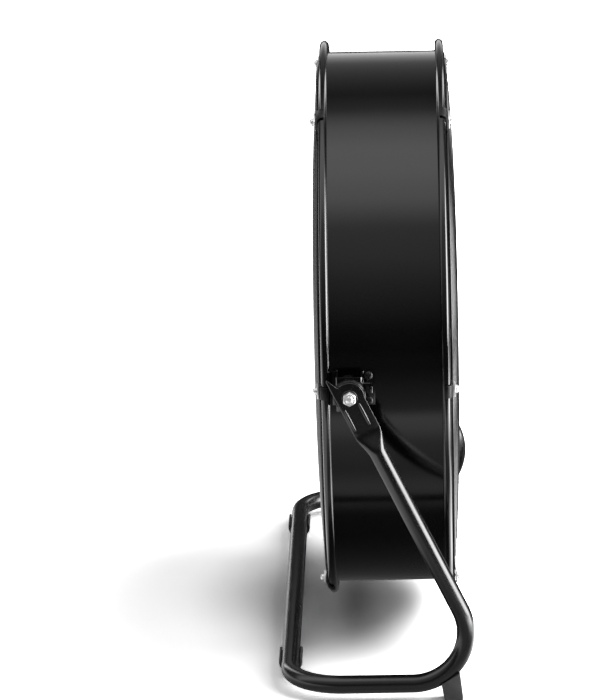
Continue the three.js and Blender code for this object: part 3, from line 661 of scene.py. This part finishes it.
def pivots():
    """Bracket, friction disc, washer, nut and bolt, in the order in which they stack up."""
    disc = FLAT_INNER - SEAT - DISC
    washer = FLAT_OUTER + SEAT
    nut = washer + WASHER + SEAT
    head = WEB_OUTER - BRACKET - SEAT
    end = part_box("pivot_bolt_right")[1].x
    place = (TO_RIGHT, AT_PIVOT)
    for name in SIDES:
        pivot_piece(pivot_bracket(), "pivot_bracket", name, "drum_paint")
        ring = tube_disc(DISC_RADIUS, disc, disc + DISC, 1.2 * MM)
        pivot_piece(move(ring, *place), "friction_disc", name, "black_nylon")
        ring = tube_disc(WASHER_RADIUS, washer, washer + WASHER, 0.3 * MM)
        pivot_piece(move(ring, *place), "pivot_washer", name, "black_steel")
        pivot_piece(move(hex_nut(nut), *place), "pivot_nut", name, "zinc_steel")
        pivot_piece(move(pivot_bolt(head, end), *place), "pivot_bolt", name, "zinc_steel", 50)


# ---- stand


def tube_ring(centre, side, up, half_side=TUBE, half_up=TUBE, sides=40, power=1.0):
    """Points round the tube. A power under 1 squares the section up as the tube is pressed flat."""
    ring = []
    for i in range(sides):
        angle = 2 * pi * i / sides
        c, s = cos(angle), sin(angle)
        a = copysign(abs(c) ** power, c) * half_side
        b = copysign(abs(s) ** power, s) * half_up
        ring.append(centre + side * a + up * b)
    return ring


def bend_ring(angle, half=TUBE, sides=40):
    """Points round the +X leg's bend, at an angle about the bend's centre."""
    out = Vector((0, cos(angle), sin(angle)))
    centre = Vector((SIDE_X, BEND_CENTRE.x, BEND_CENTRE.y)) + out * BEND
    return tube_ring(centre, Vector((1, 0, 0)), -out, half, half, sides)


def smooth(share):
    """Eases a share of the way between 0 and 1 at both ends."""
    return share * share * (3 - 2 * share)


def stand_rings():
    """Rings from inside the +X flat end down the leg, round the bends, to the middle of the bar."""
    side = Vector((1, 0, 0))
    down = Vector((0, sin(LEG_ANGLE), -cos(LEG_ANGLE)))
    across = Vector((0, cos(LEG_ANGLE), sin(LEG_ANGLE)))
    start = Vector((SIDE_X, PIVOT.y, PIVOT.z))
    flare_steps, settle_steps, bend_steps = 14, 8, 24
    squared = 0.35  # power of the section where the tube is pressed flat
    thickens, rounds = 1.15, 1.6  # how much sooner it does so than it grows narrow
    rings = []
    for i in range(-2, flare_steps + 1):
        share = max(i / flare_steps, 0)
        thick = FLAT / 2 + (TUBE - FLAT / 2) * smooth(min(1, share * thickens))
        wide = FLAT_HALF + (TUBE - FLAT_HALF) * smooth(share)
        power = squared + (1 - squared) * smooth(min(1, share * rounds))
        centre = start + down * (FLAT_LENGTH + i / flare_steps * FLARE)
        rings.append(tube_ring(centre, side, -across, thick, wide, power=power))
    quarter = [-pi / 2 * i / bend_steps for i in range(bend_steps + 1)]
    rings += [bend_ring(LEG_ANGLE * (1 - i / settle_steps)) for i in range(settle_steps)]
    rings += [bend_ring(angle) for angle in quarter]
    corner = Vector((SIDE_X - BEND, CROSS_Y + BEND, RAIL_Z))
    for angle in quarter:
        out = Vector((cos(angle), sin(angle), 0))
        rings.append(tube_ring(corner + out * BEND, out, Vector((0, 0, 1))))
    return rings


RIB_HALF = (1.9 * MM, 13.0 * MM, 1.6 * MM)  # half its width, length and height
RIB_UP = -23 * MM  # its middle, from the pivot
RIB_PLACES = (-10.9 * MM, 6.1 * MM)


def rib(across):
    """A rib with blunt ends, proud of the flat end's outer face."""
    mesh = bmesh.new()
    shape = shift(across, RIB_UP, FLAT / 2) @ Matrix.Diagonal((*RIB_HALF, 1))
    bmesh.ops.create_icosphere(mesh, subdivisions=4, radius=1.0, matrix=shape)
    for vert in mesh.verts:
        along = vert.co.y - RIB_UP
        vert.co.y = copysign(min(abs(along) * 1.25, RIB_HALF[1]), along) + RIB_UP
    return mesh


def flat_end():
    """Pressed end of the tube at +X, in the leg's plane: round top, hole, ribs and horn."""
    top, hole = 16.2 * MM, 4.4 * MM
    horn_side, horn_root, horn_reach, horn_corner = 7 * MM, 16 * MM, 27.8 * MM, 1.5 * MM
    bottom = -(FLAT_LENGTH + 1 * MM)
    shoulder = degrees(asin(FLAT_HALF / top)) - 90
    root = 90 + degrees(asin(horn_side / top))
    outline = [(-FLAT_HALF, bottom), (FLAT_HALF, bottom)]
    outline += arc((0, 0), top, shoulder, root, 24)
    outline += [(-horn_side - 0.5 * MM, horn_root), (-FLAT_HALF + horn_corner, horn_reach),
                (-FLAT_HALF, horn_reach - horn_corner)]
    plate = soften(prism(outline, FLAT), 0.9 * MM, 40, 3)
    plate = boolean(plate, move(rod(hole, -10 * MM, 10 * MM, 36), turn(90, "X")))
    for across in RIB_PLACES:
        plate = boolean(plate, rib(across), "UNION")
    lean = turn(degrees(LEG_ANGLE), "X")
    return move(plate, UPRIGHT, lean, shift(SIDE_X, PIVOT.y, PIVOT.z))


def stand_tube():
    """Both legs and the cross bar as one bent tube, with its pressed ends."""
    right = stand_rings()
    left = [[Vector((-p.x, p.y, p.z)) for p in ring] for ring in reversed(right)]
    mesh = skin(right + left)
    bmesh.ops.recalc_face_normals(mesh, faces=mesh.faces)
    mesh = boolean(mesh, flat_end(), "UNION")
    mesh = boolean(mesh, move(flat_end(), MIRROR), "UNION")
    as_piece("stand_frame", mesh, "stand", "stand_tube", "stand_paint", 40)


def bar_foot(side):
    """Rubber saddle that clips round the cross bar from below, on a sole pad."""
    rise, length, place = 15, 44 * MM, 240 * MM
    pad_half, pad_length = 5 * MM, 24 * MM
    ring = arc((0, RAIL_Z), SADDLE_OUT, 180 - rise, 360 + rise, 36)
    ring += arc((0, RAIL_Z), SADDLE_IN, 360 + rise, 180 - rise, 36)
    saddle = soften(prism(ring, length), 0.8 * MM, 50, 3)
    height = RAIL_Z - SADDLE_IN - 1.2 * MM
    corners = [(-pad_half, 0), (pad_half, 0), (pad_half, height), (-pad_half, height)]
    pad = soften(prism(corners, pad_length), 0.8 * MM, 40)
    foot = boolean(saddle, pad, "UNION")
    return move(foot, UPRIGHT, shift(side * place, CROSS_Y, 0))


def bend_foot():
    """Leaning block under the +X leg's bend, hollowed to the tube, with a notch in its sole."""
    half, lean, width = 10 * MM, 3.5 * MM, 20 * MM
    high_side, low_side, notch = 32 * MM, 20 * MM, 1.2 * MM
    place = BEND_Y - 14 * MM
    outline = [(half, 0), (half - lean, high_side), (-half - lean, low_side), (-half, 0),
               (-half / 2, 0), (-half / 2, notch), (half / 4, notch), (half / 4, 0)]
    block = soften(prism(outline, width), 0.8 * MM, 30)
    move(block, UPRIGHT, shift(SIDE_X, place, 0))
    first, last, steps = 20, -90, 39  # degrees about the bend's centre
    angles = [radians(first + (last - first) * i / steps) for i in range(steps + 1)]
    return boolean(block, skin([bend_ring(angle, TUBE + SEAT, 48) for angle in angles]))


def stand():
    """The stand and its four feet."""
    stand_tube()
    for name, side in SIDES.items():
        as_piece(f"bar_pad_{name}", bar_foot(side), "stand", f"bar_foot_{name}", "foot_rubber")
        block = to_side(bend_foot(), side)
        as_piece(f"bend_pad_{name}", block, "stand", f"bend_foot_{name}", "foot_rubber")


# ---- motor, bars and switch

MOTOR_LOW, MOTOR_HIGH = (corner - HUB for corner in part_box("motor_body"))
MOTOR_RADIUS = MOTOR_HIGH.x
SHAFT_RADIUS = 6 * MM
SHAFT_BORE = 6.4 * MM
CLAMP_Y = -18.5 * MM
CLAMP_APART = 14 * MM  # each way from the pivot's height
CLAMP_Z = {"upper": PIVOT.z - HUB.z + CLAMP_APART, "lower": PIVOT.z - HUB.z - CLAMP_APART}


def motor_body():
    """Finned housing, turned about the axis, with an open bore for the shaft."""
    rear, front = MOTOR_LOW.y, MOTOR_HIGH.y
    bell, nose, fins = 9 * MM, 4 * MM, 7
    # each fin's points: depth under the housing's radius, and place as a share of the pitch
    fin = ((3.5 * MM, 0), (0.5 * MM, 0.2), (0, 0.35), (0.5 * MM, 0.5), (3.5 * MM, 0.7))
    bore_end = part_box("motor_shaft")[0].y - HUB.y - 2 * SEAT
    outline = [(0, rear), (MOTOR_RADIUS - 6 * MM, rear), (MOTOR_RADIUS - 3 * MM, rear + 2 * MM)]
    pitch = (front - rear - bell - nose) / fins
    for i in range(fins):
        y = rear + 3 * MM + i * pitch
        outline += [(MOTOR_RADIUS - depth, y + pitch * share) for depth, share in fin]
    shoulder = front - bell
    outline += [(MOTOR_RADIUS - 2 * MM, shoulder), (MOTOR_RADIUS - 8 * MM, shoulder + nose),
                (32 * MM, front - 1 * MM), (30 * MM, front),
                (SHAFT_BORE, front), (SHAFT_BORE, bore_end), (0, bore_end)]
    can = move(lathe(outline), AT_HUB)
    as_piece("motor_can", can, "drum", "motor_body", "motor_paint", 40)


def motor_bar(level):
    """Flat bar that carries the motor across the drum, its ends bent along the drum's wall."""
    low, high = (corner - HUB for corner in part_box(f"motor_bar_{level}"))
    thick = bend = 2.5 * MM
    line = [(-high.x, high.y), (-high.x, low.y), (high.x, low.y), (high.x, high.y)]
    mesh = soften(prism(strip(line, thick, bend), high.z - low.z), 0.6 * MM, 50)
    move(mesh, shift(0, 0, (low.z + high.z) / 2), AT_HUB)
    as_piece(f"motor_strap_{level}", mesh, "drum", f"motor_bar_{level}", "drum_paint")


def clamp_screws():
    """Four black screws through the brackets, the sheet and the ends of the motor's bars."""
    seat = DRUM_RADIUS + 2 * SEAT + BRACKET
    for name, side in SIDES.items():
        for level, z in CLAMP_Z.items():
            screw = pan_head(radius=4.5 * MM, height=2.6 * MM, shank=2.5 * MM, length=11.5 * MM)
            move(screw, shift(0, seat, 0), TO_RIGHT, shift(0, CLAMP_Y, z), AT_HUB)
            node = f"clamp_screw_{name}_{level}"
            as_piece(f"{node}_form", to_side(screw, side), "drum", node, "black_steel")


def switch():
    """Round switch housing with a bore for the knob's stem in its rear face."""
    low, high = (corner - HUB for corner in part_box("switch_housing"))
    radius, bore, bore_end, edge = high.x, 3.4 * MM, low.y + 9 * MM, 3 * MM
    outline = [(0, bore_end), (bore, bore_end), (bore, low.y), (radius - edge, low.y)]
    outline += arc((radius - edge, low.y + edge), edge, -60, 0, 4)
    outline += [(radius, high.y), (0, high.y)]
    case = move(lathe(outline, 72), AT_HUB)
    as_piece("switch_case", case, "drum", "switch_housing", "switch_plastic")


def knob():
    """Round skirt with a bar to grip across its face, and a stem into the housing."""
    low, high = (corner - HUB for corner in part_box("switch_knob"))
    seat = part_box("switch_housing")[0].y - HUB.y - SEAT
    radius, face = high.x, low.y
    stem, skirt, bar_width, bar_short = 3 * MM, 5 * MM, 5 * MM, 6 * MM
    edge, edge_in = 1.6 * MM, 2.2 * MM
    rim = seat - skirt
    outline = [(0, rim), (radius - 3 * MM, rim)]
    outline += arc((radius - edge_in, rim + edge), edge, -80, 0, 4)
    outline += [(radius, seat), (stem, seat), (stem, high.y), (0, high.y)]
    size = (2 * radius - bar_short, rim - face + MM, bar_width)
    bar = box_mesh(size, (0, (face + rim + MM) / 2, 0))
    mesh = boolean(lathe(outline, 72), soften(bar, 1.4 * MM, 40, 4), "UNION")
    as_piece("speed_knob", move(mesh, AT_HUB), "knob", "switch_knob", "switch_plastic")


def gland():
    """Cable gland that points down: a hexagonal foot, a domed nut and an open bore."""
    low, high = (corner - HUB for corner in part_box("cable_gland"))
    flats, foot, bore = 14 * MM, 6 * MM, 3.4 * MM
    nut = prism(arc((0, 0), flats / sqrt(3), 0, 300, 5), foot)
    move(nut, turn(90, "X"), shift(0, foot / 2, 0))
    # radius and distance from the foot's seat, in millimetres
    profile = ((0, 5), (6.4, 5), (6.4, 12), (5.9, 14.4), (4.9, 16.2), (4.0, 17), (0, 17))
    dome = lathe([(radius * MM, out * MM) for radius, out in profile], 40)
    mesh = boolean(soften(nut, 0.4 * MM, 40), dome, "UNION")
    mesh = boolean(mesh, rod(bore, 2 * MM, 19 * MM, 32))
    move(mesh, turn(-90, "X"), shift(0, (low.y + high.y) / 2, high.z), AT_HUB)
    as_piece("gland_body", mesh, "drum", "cable_gland", "black_nylon")


# ---- rotor

HUB_LOW, HUB_HIGH = (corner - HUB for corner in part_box("blade_hub"))
HUB_RADIUS = HUB_HIGH.x
HUB_Y = (HUB_LOW.y + HUB_HIGH.y) / 2
BLADE_TIP = 287.5 * MM
BLADES = 3


def shaft():
    """Bar with a chamfer at its front end."""
    low, high = (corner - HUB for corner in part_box("motor_shaft"))
    radius, chamfer = SHAFT_RADIUS, MM
    mesh = lathe([(0, low.y), (radius, low.y), (radius, high.y - chamfer),
                  (radius - chamfer, high.y), (0, high.y)], 48)
    as_piece("shaft_bar", move(mesh, AT_HUB), "rotor", "motor_shaft", "shaft_steel")


def hub():
    """Cup that carries the blades, with a boss round the shaft and a dished face."""
    front, rear = HUB_HIGH.y, HUB_LOW.y
    wall, edge, dish, boss = 3 * MM, 4 * MM, 1 * MM, 15 * MM
    boss_rear = rear + 8 * MM
    outline = [(SHAFT_BORE, boss_rear), (boss, boss_rear), (boss, front - wall),
               (HUB_RADIUS - wall, front - wall), (HUB_RADIUS - wall, rear), (HUB_RADIUS, rear)]
    outline += arc((HUB_RADIUS - edge, front - edge), edge, 0, 90, 6)
    outline += [(20 * MM, front), (18 * MM, front - dish), (12 * MM, front - dish),
                (SHAFT_BORE, front - dish)]
    as_piece("hub_cup", move(lathe(outline), AT_HUB), "rotor", "blade_hub", "hub_paint")


def blade_rings():
    """Sections of one blade: twisted, cambered and wrapped on cylinders about the axis."""
    stations, chord_steps = 26, 18
    root = HUB_RADIUS + SEAT
    root_chord, tip_chord = 78, 178  # in millimetres
    root_pitch, tip_pitch = 40, 21  # in degrees
    tip_y = 28 * MM
    camber = 0.07  # share of the chord
    half_sheet, half_edge = 1.0 * MM, 0.12 * MM
    rings = []
    for i in range(stations + 1):
        share = i / stations
        r = root + (BLADE_TIP - root) * share
        # the tip's corners are rounded off over the last quarter
        trim = 1 - 0.3 * max(0, (share - 0.75) / 0.25) ** 2.2
        chord = (root_chord + (tip_chord - root_chord) * sqrt(share)) * MM * trim
        pitch = radians(root_pitch + (tip_pitch - root_pitch) * sqrt(share))
        middle = HUB_Y + (tip_y - HUB_Y) * share
        upper, lower = [], []
        for j in range(chord_steps + 1):
            u = j / chord_steps - 0.5
            lift = camber * chord * (1 - 4 * u * u)
            half = half_sheet * sqrt(max(0.0, 1 - (2 * abs(u)) ** 10)) + half_edge
            for points, offset in ((upper, half), (lower, -half)):
                across = u * chord
                tangent = across * cos(pitch) - (lift + offset) * sin(pitch)
                y = middle + across * sin(pitch) + (lift + offset) * cos(pitch)
                points.append(Vector((r * cos(tangent / r), y, r * sin(tangent / r))))
        rings.append(upper + lower[::-1])
    return rings


def rotor():
    """Shaft, hub and blades."""
    shaft()
    hub()
    for i in range(BLADES):
        mesh = move(skin(blade_rings()), turn(i * 360 / BLADES, "Y"), AT_HUB)
        as_piece(f"blade_form_{i + 1}", mesh, "rotor", f"blade_{i + 1}", "blade_aluminium", 60)


# ---- camera, light and floor


def camera():
    """The camera as it was fitted to the photograph."""
    eye = Vector((5.0430, 0.05105, 1.7232))
    target = Vector((0.0, -0.07585, 0.3011))
    roll = radians(-1.443)
    forward = (target - eye).normalized()
    level = forward.cross(Vector((0, 0, 1))).normalized()
    upright = level.cross(forward)
    right = level * cos(roll) + upright * sin(roll)
    up = upright * cos(roll) - level * sin(roll)
    data = bpy.data.cameras.new("camera")
    data.sensor_width = 36
    data.lens = 236.66
    data.clip_end = 60
    item = link("camera", data)
    rotation = Matrix((right, up, -forward)).transposed().to_4x4()
    item.matrix_world = Matrix.Translation(eye) @ rotation
    bpy.context.scene.camera = item


def sun(lean, spread, power):
    """A broad lamp overhead, leaning towards +Y by some degrees. Gloss doesn't see it."""
    data = bpy.data.lights.new("key", "SUN")
    data.energy = power
    data.angle = radians(spread)
    item = link("key", data)
    item.rotation_euler = (radians(-lean), 0, 0)
    item.visible_glossy = False


def feed(tree, value, socket):
    """Gives a socket a plain number, or links another socket to it."""
    if isinstance(value, (int, float)):
        socket.default_value = value
    else:
        tree.links.new(value, socket)


def math_node(tree, operation, *values):
    """A math node on sockets or plain numbers."""
    node = new(tree, "Math")
    node.operation = operation
    for socket, value in zip(node.inputs, values):
        feed(tree, value, socket)
    return node.outputs["Value"]


def product(tree, result, *others):
    """Multiplies sockets or plain numbers."""
    for other in others:
        result = math_node(tree, "MULTIPLY", result, other)
    return result


def total(tree, result, *others):
    """Adds sockets or plain numbers."""
    for other in others:
        result = math_node(tree, "ADD", result, other)
    return result


def fade(tree, value, start, end):
    """Grows smoothly from 0 to 1 while the value goes from start to end."""
    node = new(tree, "MapRange")
    node.interpolation_type = "SMOOTHSTEP"
    fill(node, {"From Min": start, "From Max": end})
    tree.links.new(value, node.inputs["Value"])
    return node.outputs["Result"]


# what gloss sees of the studio, by direction. The arch goes from the horizon at +X over the top
# to the horizon at -X: degrees along the arch, and the level there.
ARCH = ((0, 0.03), (10, 0.06), (29, 0.31), (41, 0.53), (54, 0.62), (66, 1.6), (80, 1.95),
        (92, 1.9), (104, 1.25), (115, 0.28), (126, 0.1), (140, 0.2), (158, 0.3), (168, 0.7),
        (177, 1.15))
ARCH_TOP = 2.0
# each pair is where something starts and where it is full, on a unit direction or in degrees
PANEL_X, PANEL_Y, PANEL_Z = (-0.3, 0.12), (0.72, 0.84), (0.9, 0.7)
PANEL_LEVEL = 20.0  # a bright panel at +Y
STRIP_IN, STRIP_OUT = (0.42, 0.5), (0.64, 0.56)
STRIP_X, STRIP_Z = (-0.3, -0.6), (0.05, 0.18)
STRIP_LEVEL = 4.0  # an upright bright strip on each side, behind the object
DULL_ALONG, DULL_ASIDE = (140, 160), (0.15, 0.4)
DULLED = 0.85  # share that the arch loses low behind, away from the middle

# what gloss sees of the floor is a glow with painted light and shade, low under the drum where its
# shadow falls: distance from the middle along X in metres, and the level there
FLOOR_GLOSS = ((0.0, 0.1), (0.22, 0.03), (0.30, 0.05), (0.35, 0.4), (0.39, 0.5), (0.46, 0.3),
               (0.62, 0.45), (0.72, 0.8), (0.85, 0.95), (0.96, 0.28), (1.3, 0.19), (2.0, 0.1),
               (3.0, 0.06))
# and the painted bright patches added to that, with where each starts and is full in metres
LEFT_LEVEL, LEFT_Y = 1.4, (-0.08, -0.22)
RIGHT_LEVEL = 7.0  # at +Y: ahead, towards the camera, and at the edge, beside the drum
AHEAD_X, AHEAD_Y = (0.25, 0.4), (0.25, 0.45)
EDGE_X_IN, EDGE_X_OUT = (-0.06, 0.1), (0.4, 0.25)
EDGE_Y_IN, EDGE_Y_OUT = (0.08, 0.24), (0.62, 0.46)
FAR_LEVEL, FAR_X, FAR_Y = 13.0, (0.1, 0.25), (0.5, 0.9)
ADDED_X = (1.1, 0.7)  # all of them end here towards the camera

# what the eye sees of the floor is a white that clips; its colour is painted low in the shadow's
# middle and high away from it, which paints light over the shadow's outer part so that it fades to
# white
SEEN_NEAR = 0.84  # its colour in the middle of the shadow
SEEN_FAR = 2.8  # and away from it
SHADOW_Y = -0.055
SHADOW_STRETCH = 1.4  # along X
CLEAR = (0.02, 0.2)  # distances over which the painted light clears the shadow
SEEN_RIGHT = 3.0  # painted light added in front of the shadow, which makes the shadow lighter there
PAINTED_LIGHT_X, PAINTED_LIGHT_Y = (0.2, 0.02), (-0.03, 0.03)

SOFT_LEVEL = 0.3  # the world, for light that isn't gloss
PAPER = 0.88  # the floor's colour for that light


def level_ramp(tree, value, stops, full, top):
    """Levels along a value: each stop is a place on a scale to full, and a level of at most top."""
    greys = [(place / full, (level / top,) * 3) for place, level in stops]
    ramp = color_ramp(tree, greys)
    tree.links.new(math_node(tree, "DIVIDE", value, full), ramp.inputs["Fac"])
    return math_node(tree, "MULTIPLY", ramp.outputs["Color"], top)


def split(tree, vector):
    """The x, y and z of a vector's socket."""
    node = new(tree, "SeparateXYZ")
    tree.links.new(vector, node.inputs["Vector"])
    return [node.outputs[axis] for axis in "XYZ"]


def studio_gloss(tree):
    """Light and dark of a studio, by direction: an arch, a panel and two strips."""
    x, y, z = split(tree, new(tree, "TexCoord").outputs["Generated"])
    along = math_node(tree, "DEGREES", math_node(tree, "ARCTAN2", z, x))
    overhead = level_ramp(tree, along, ARCH, 180, ARCH_TOP)
    panel = product(tree, fade(tree, y, *PANEL_Y), fade(tree, x, *PANEL_X),
                    fade(tree, z, *PANEL_Z), PANEL_LEVEL)
    aside = math_node(tree, "ABSOLUTE", y)
    strips = product(tree, fade(tree, aside, *STRIP_IN), fade(tree, aside, *STRIP_OUT))
    behind = product(tree, fade(tree, x, *STRIP_X), fade(tree, z, *STRIP_Z))
    wall = product(tree, strips, behind, STRIP_LEVEL)
    dull = product(tree, fade(tree, along, *DULL_ALONG), fade(tree, aside, *DULL_ASIDE), DULLED)
    above = product(tree, overhead, math_node(tree, "SUBTRACT", 1.0, dull))
    return total(tree, above, panel, wall)


def background(tree, level):
    """A white world of a level, which is a socket or a plain number."""
    node = new(tree, "Background")
    fill(node, {"Color": (1, 1, 1, 1)})
    feed(tree, level, node.inputs["Strength"])
    return node.outputs["Background"]


def by_ray(tree, kind, other, chosen):
    """One shader for rays of a kind and another for the rest."""
    path = new(tree, "LightPath")
    mix = new(tree, "MixShader")
    tree.links.new(path.outputs[kind], mix.inputs["Fac"])
    tree.links.new(other, mix.inputs[1])
    tree.links.new(chosen, mix.inputs[2])
    return mix.outputs["Shader"]


def sky():
    """White to the eye, an even grey for soft light, and the studio for gloss."""
    world = bpy.data.worlds.new("studio")
    bpy.context.scene.world = world
    world.use_nodes = True
    tree = world.node_tree
    tree.nodes.clear()
    soft = background(tree, SOFT_LEVEL)
    light = by_ray(tree, "Is Glossy Ray", soft, background(tree, studio_gloss(tree)))
    shown = by_ray(tree, "Is Camera Ray", light, background(tree, 1.0))
    out = new(tree, "OutputWorld")
    tree.links.new(shown, out.inputs["Surface"])


def new_material(name):
    """An empty material, its node tree and its output's surface socket."""
    material = bpy.data.materials.new(name)
    material.use_nodes = True
    tree = material.node_tree
    tree.nodes.clear()
    out = new(tree, "OutputMaterial")
    return material, tree, out.inputs["Surface"]


def floor_seen(tree, x, y):
    """Colour of the floor to the eye: painted light, which rises away from the shadow's middle so
    that the shadow fades, with more in front of it.
    """
    along = math_node(tree, "DIVIDE", x, SHADOW_STRETCH)
    across = math_node(tree, "SUBTRACT", y, SHADOW_Y)
    squares = total(tree, math_node(tree, "POWER", along, 2.0),
                    math_node(tree, "POWER", across, 2.0))
    away = math_node(tree, "SQRT", squares)
    # painted light: the colour rises with distance from the shadow's middle, so the shadow fades
    # out
    clear = product(tree, fade(tree, away, *CLEAR), SEEN_FAR - SEEN_NEAR)
    # painted light: colour added in front of the shadow makes it lighter there
    painted_light = product(tree, fade(tree, y, *PAINTED_LIGHT_Y), fade(tree, x, *PAINTED_LIGHT_X), SEEN_RIGHT)
    return total(tree, clear, painted_light, SEEN_NEAR)


def floor_gloss(tree, x, y):
    """Level of the floor to gloss: a glow that paints a dim studio floor, with painted shade under
    the drum and painted bright patches.
    """
    far = FLOOR_GLOSS[-1][0]
    middle = level_ramp(tree, math_node(tree, "ABSOLUTE", x), FLOOR_GLOSS, far, 1.0)
    left = product(tree, fade(tree, y, *LEFT_Y), LEFT_LEVEL)
    ahead = product(tree, fade(tree, y, *AHEAD_Y), fade(tree, x, *AHEAD_X))
    edge = product(tree, fade(tree, y, *EDGE_Y_IN), fade(tree, x, *EDGE_X_IN),
                   fade(tree, x, *EDGE_X_OUT), fade(tree, y, *EDGE_Y_OUT))
    right = product(tree, total(tree, ahead, edge), RIGHT_LEVEL)
    far_right = product(tree, fade(tree, y, *FAR_Y), fade(tree, x, *FAR_X), FAR_LEVEL)
    sides = total(tree, left, total(tree, right, far_right))
    return total(tree, middle, product(tree, sides, fade(tree, x, *ADDED_X)))


def floor_paper():
    """White paper that keeps the shadow and is painted lighter away from it, so that it clears to
    plain white, and to gloss is a glow that paints a dim studio floor."""
    material, tree, surface = new_material("floor_paper")
    x, y, _ = split(tree, new(tree, "NewGeometry").outputs["Position"])
    seen = new(tree, "BsdfDiffuse")
    tree.links.new(floor_seen(tree, x, y), seen.inputs["Color"])
    paper = new(tree, "BsdfDiffuse")
    fill(paper, {"Color": (PAPER, PAPER, PAPER, 1)})
    # painted light and shade: to gloss the floor glows by the levels of floor_gloss
    dim = new(tree, "Emission")
    tree.links.new(floor_gloss(tree, x, y), dim.inputs["Strength"])
    glossed = by_ray(tree, "Is Glossy Ray", paper.outputs["BSDF"], dim.outputs["Emission"])
    shown = by_ray(tree, "Is Camera Ray", glossed, seen.outputs["BSDF"])
    tree.links.new(shown, surface)
    return material


def sheet(half):
    """A flat square about the origin."""
    mesh = bmesh.new()
    bmesh.ops.create_grid(mesh, x_segments=1, y_segments=1, size=half)
    return mesh


def floor():
    """A wide sheet of paper on the floor."""
    item = as_object("floor", sheet(30))
    item.data.materials.append(floor_paper())


def dark_card():
    """A low dark card behind the object, which only gloss near the floor sees."""
    height, width, distance, level = 0.62, 2.0, 1.6, 0.05
    place = shift(-distance, 0, height / 2 + MM)
    card = move(sheet(0.5), Matrix.Diagonal((height, width, 1, 1)), turn(90, "Y"), place)
    item = as_object("dark_card", card)
    item.visible_camera = False
    item.visible_diffuse = False
    item.visible_shadow = False
    material, tree, surface = new_material("dark_card")
    dim = new(tree, "Emission")
    fill(dim, {"Strength": level})
    tree.links.new(dim.outputs["Emission"], surface)
    item.data.materials.append(material)


def main():
    """Camera, light and floor first, then the fan from its drum to its rotor."""
    bpy.context.scene.view_settings.view_transform = "Standard"
    camera()
    sky()
    floor()
    dark_card()
    sun(lean=42, spread=50, power=2.5)
    drum_shell()
    grille("front", eye=5 * MM)
    grille("rear", eye=25 * MM)
    clips()
    pivots()
    stand()
    motor_body()
    motor_bar("upper")
    motor_bar("lower")
    clamp_screws()
    switch()
    knob()
    gland()
    rotor()


main()
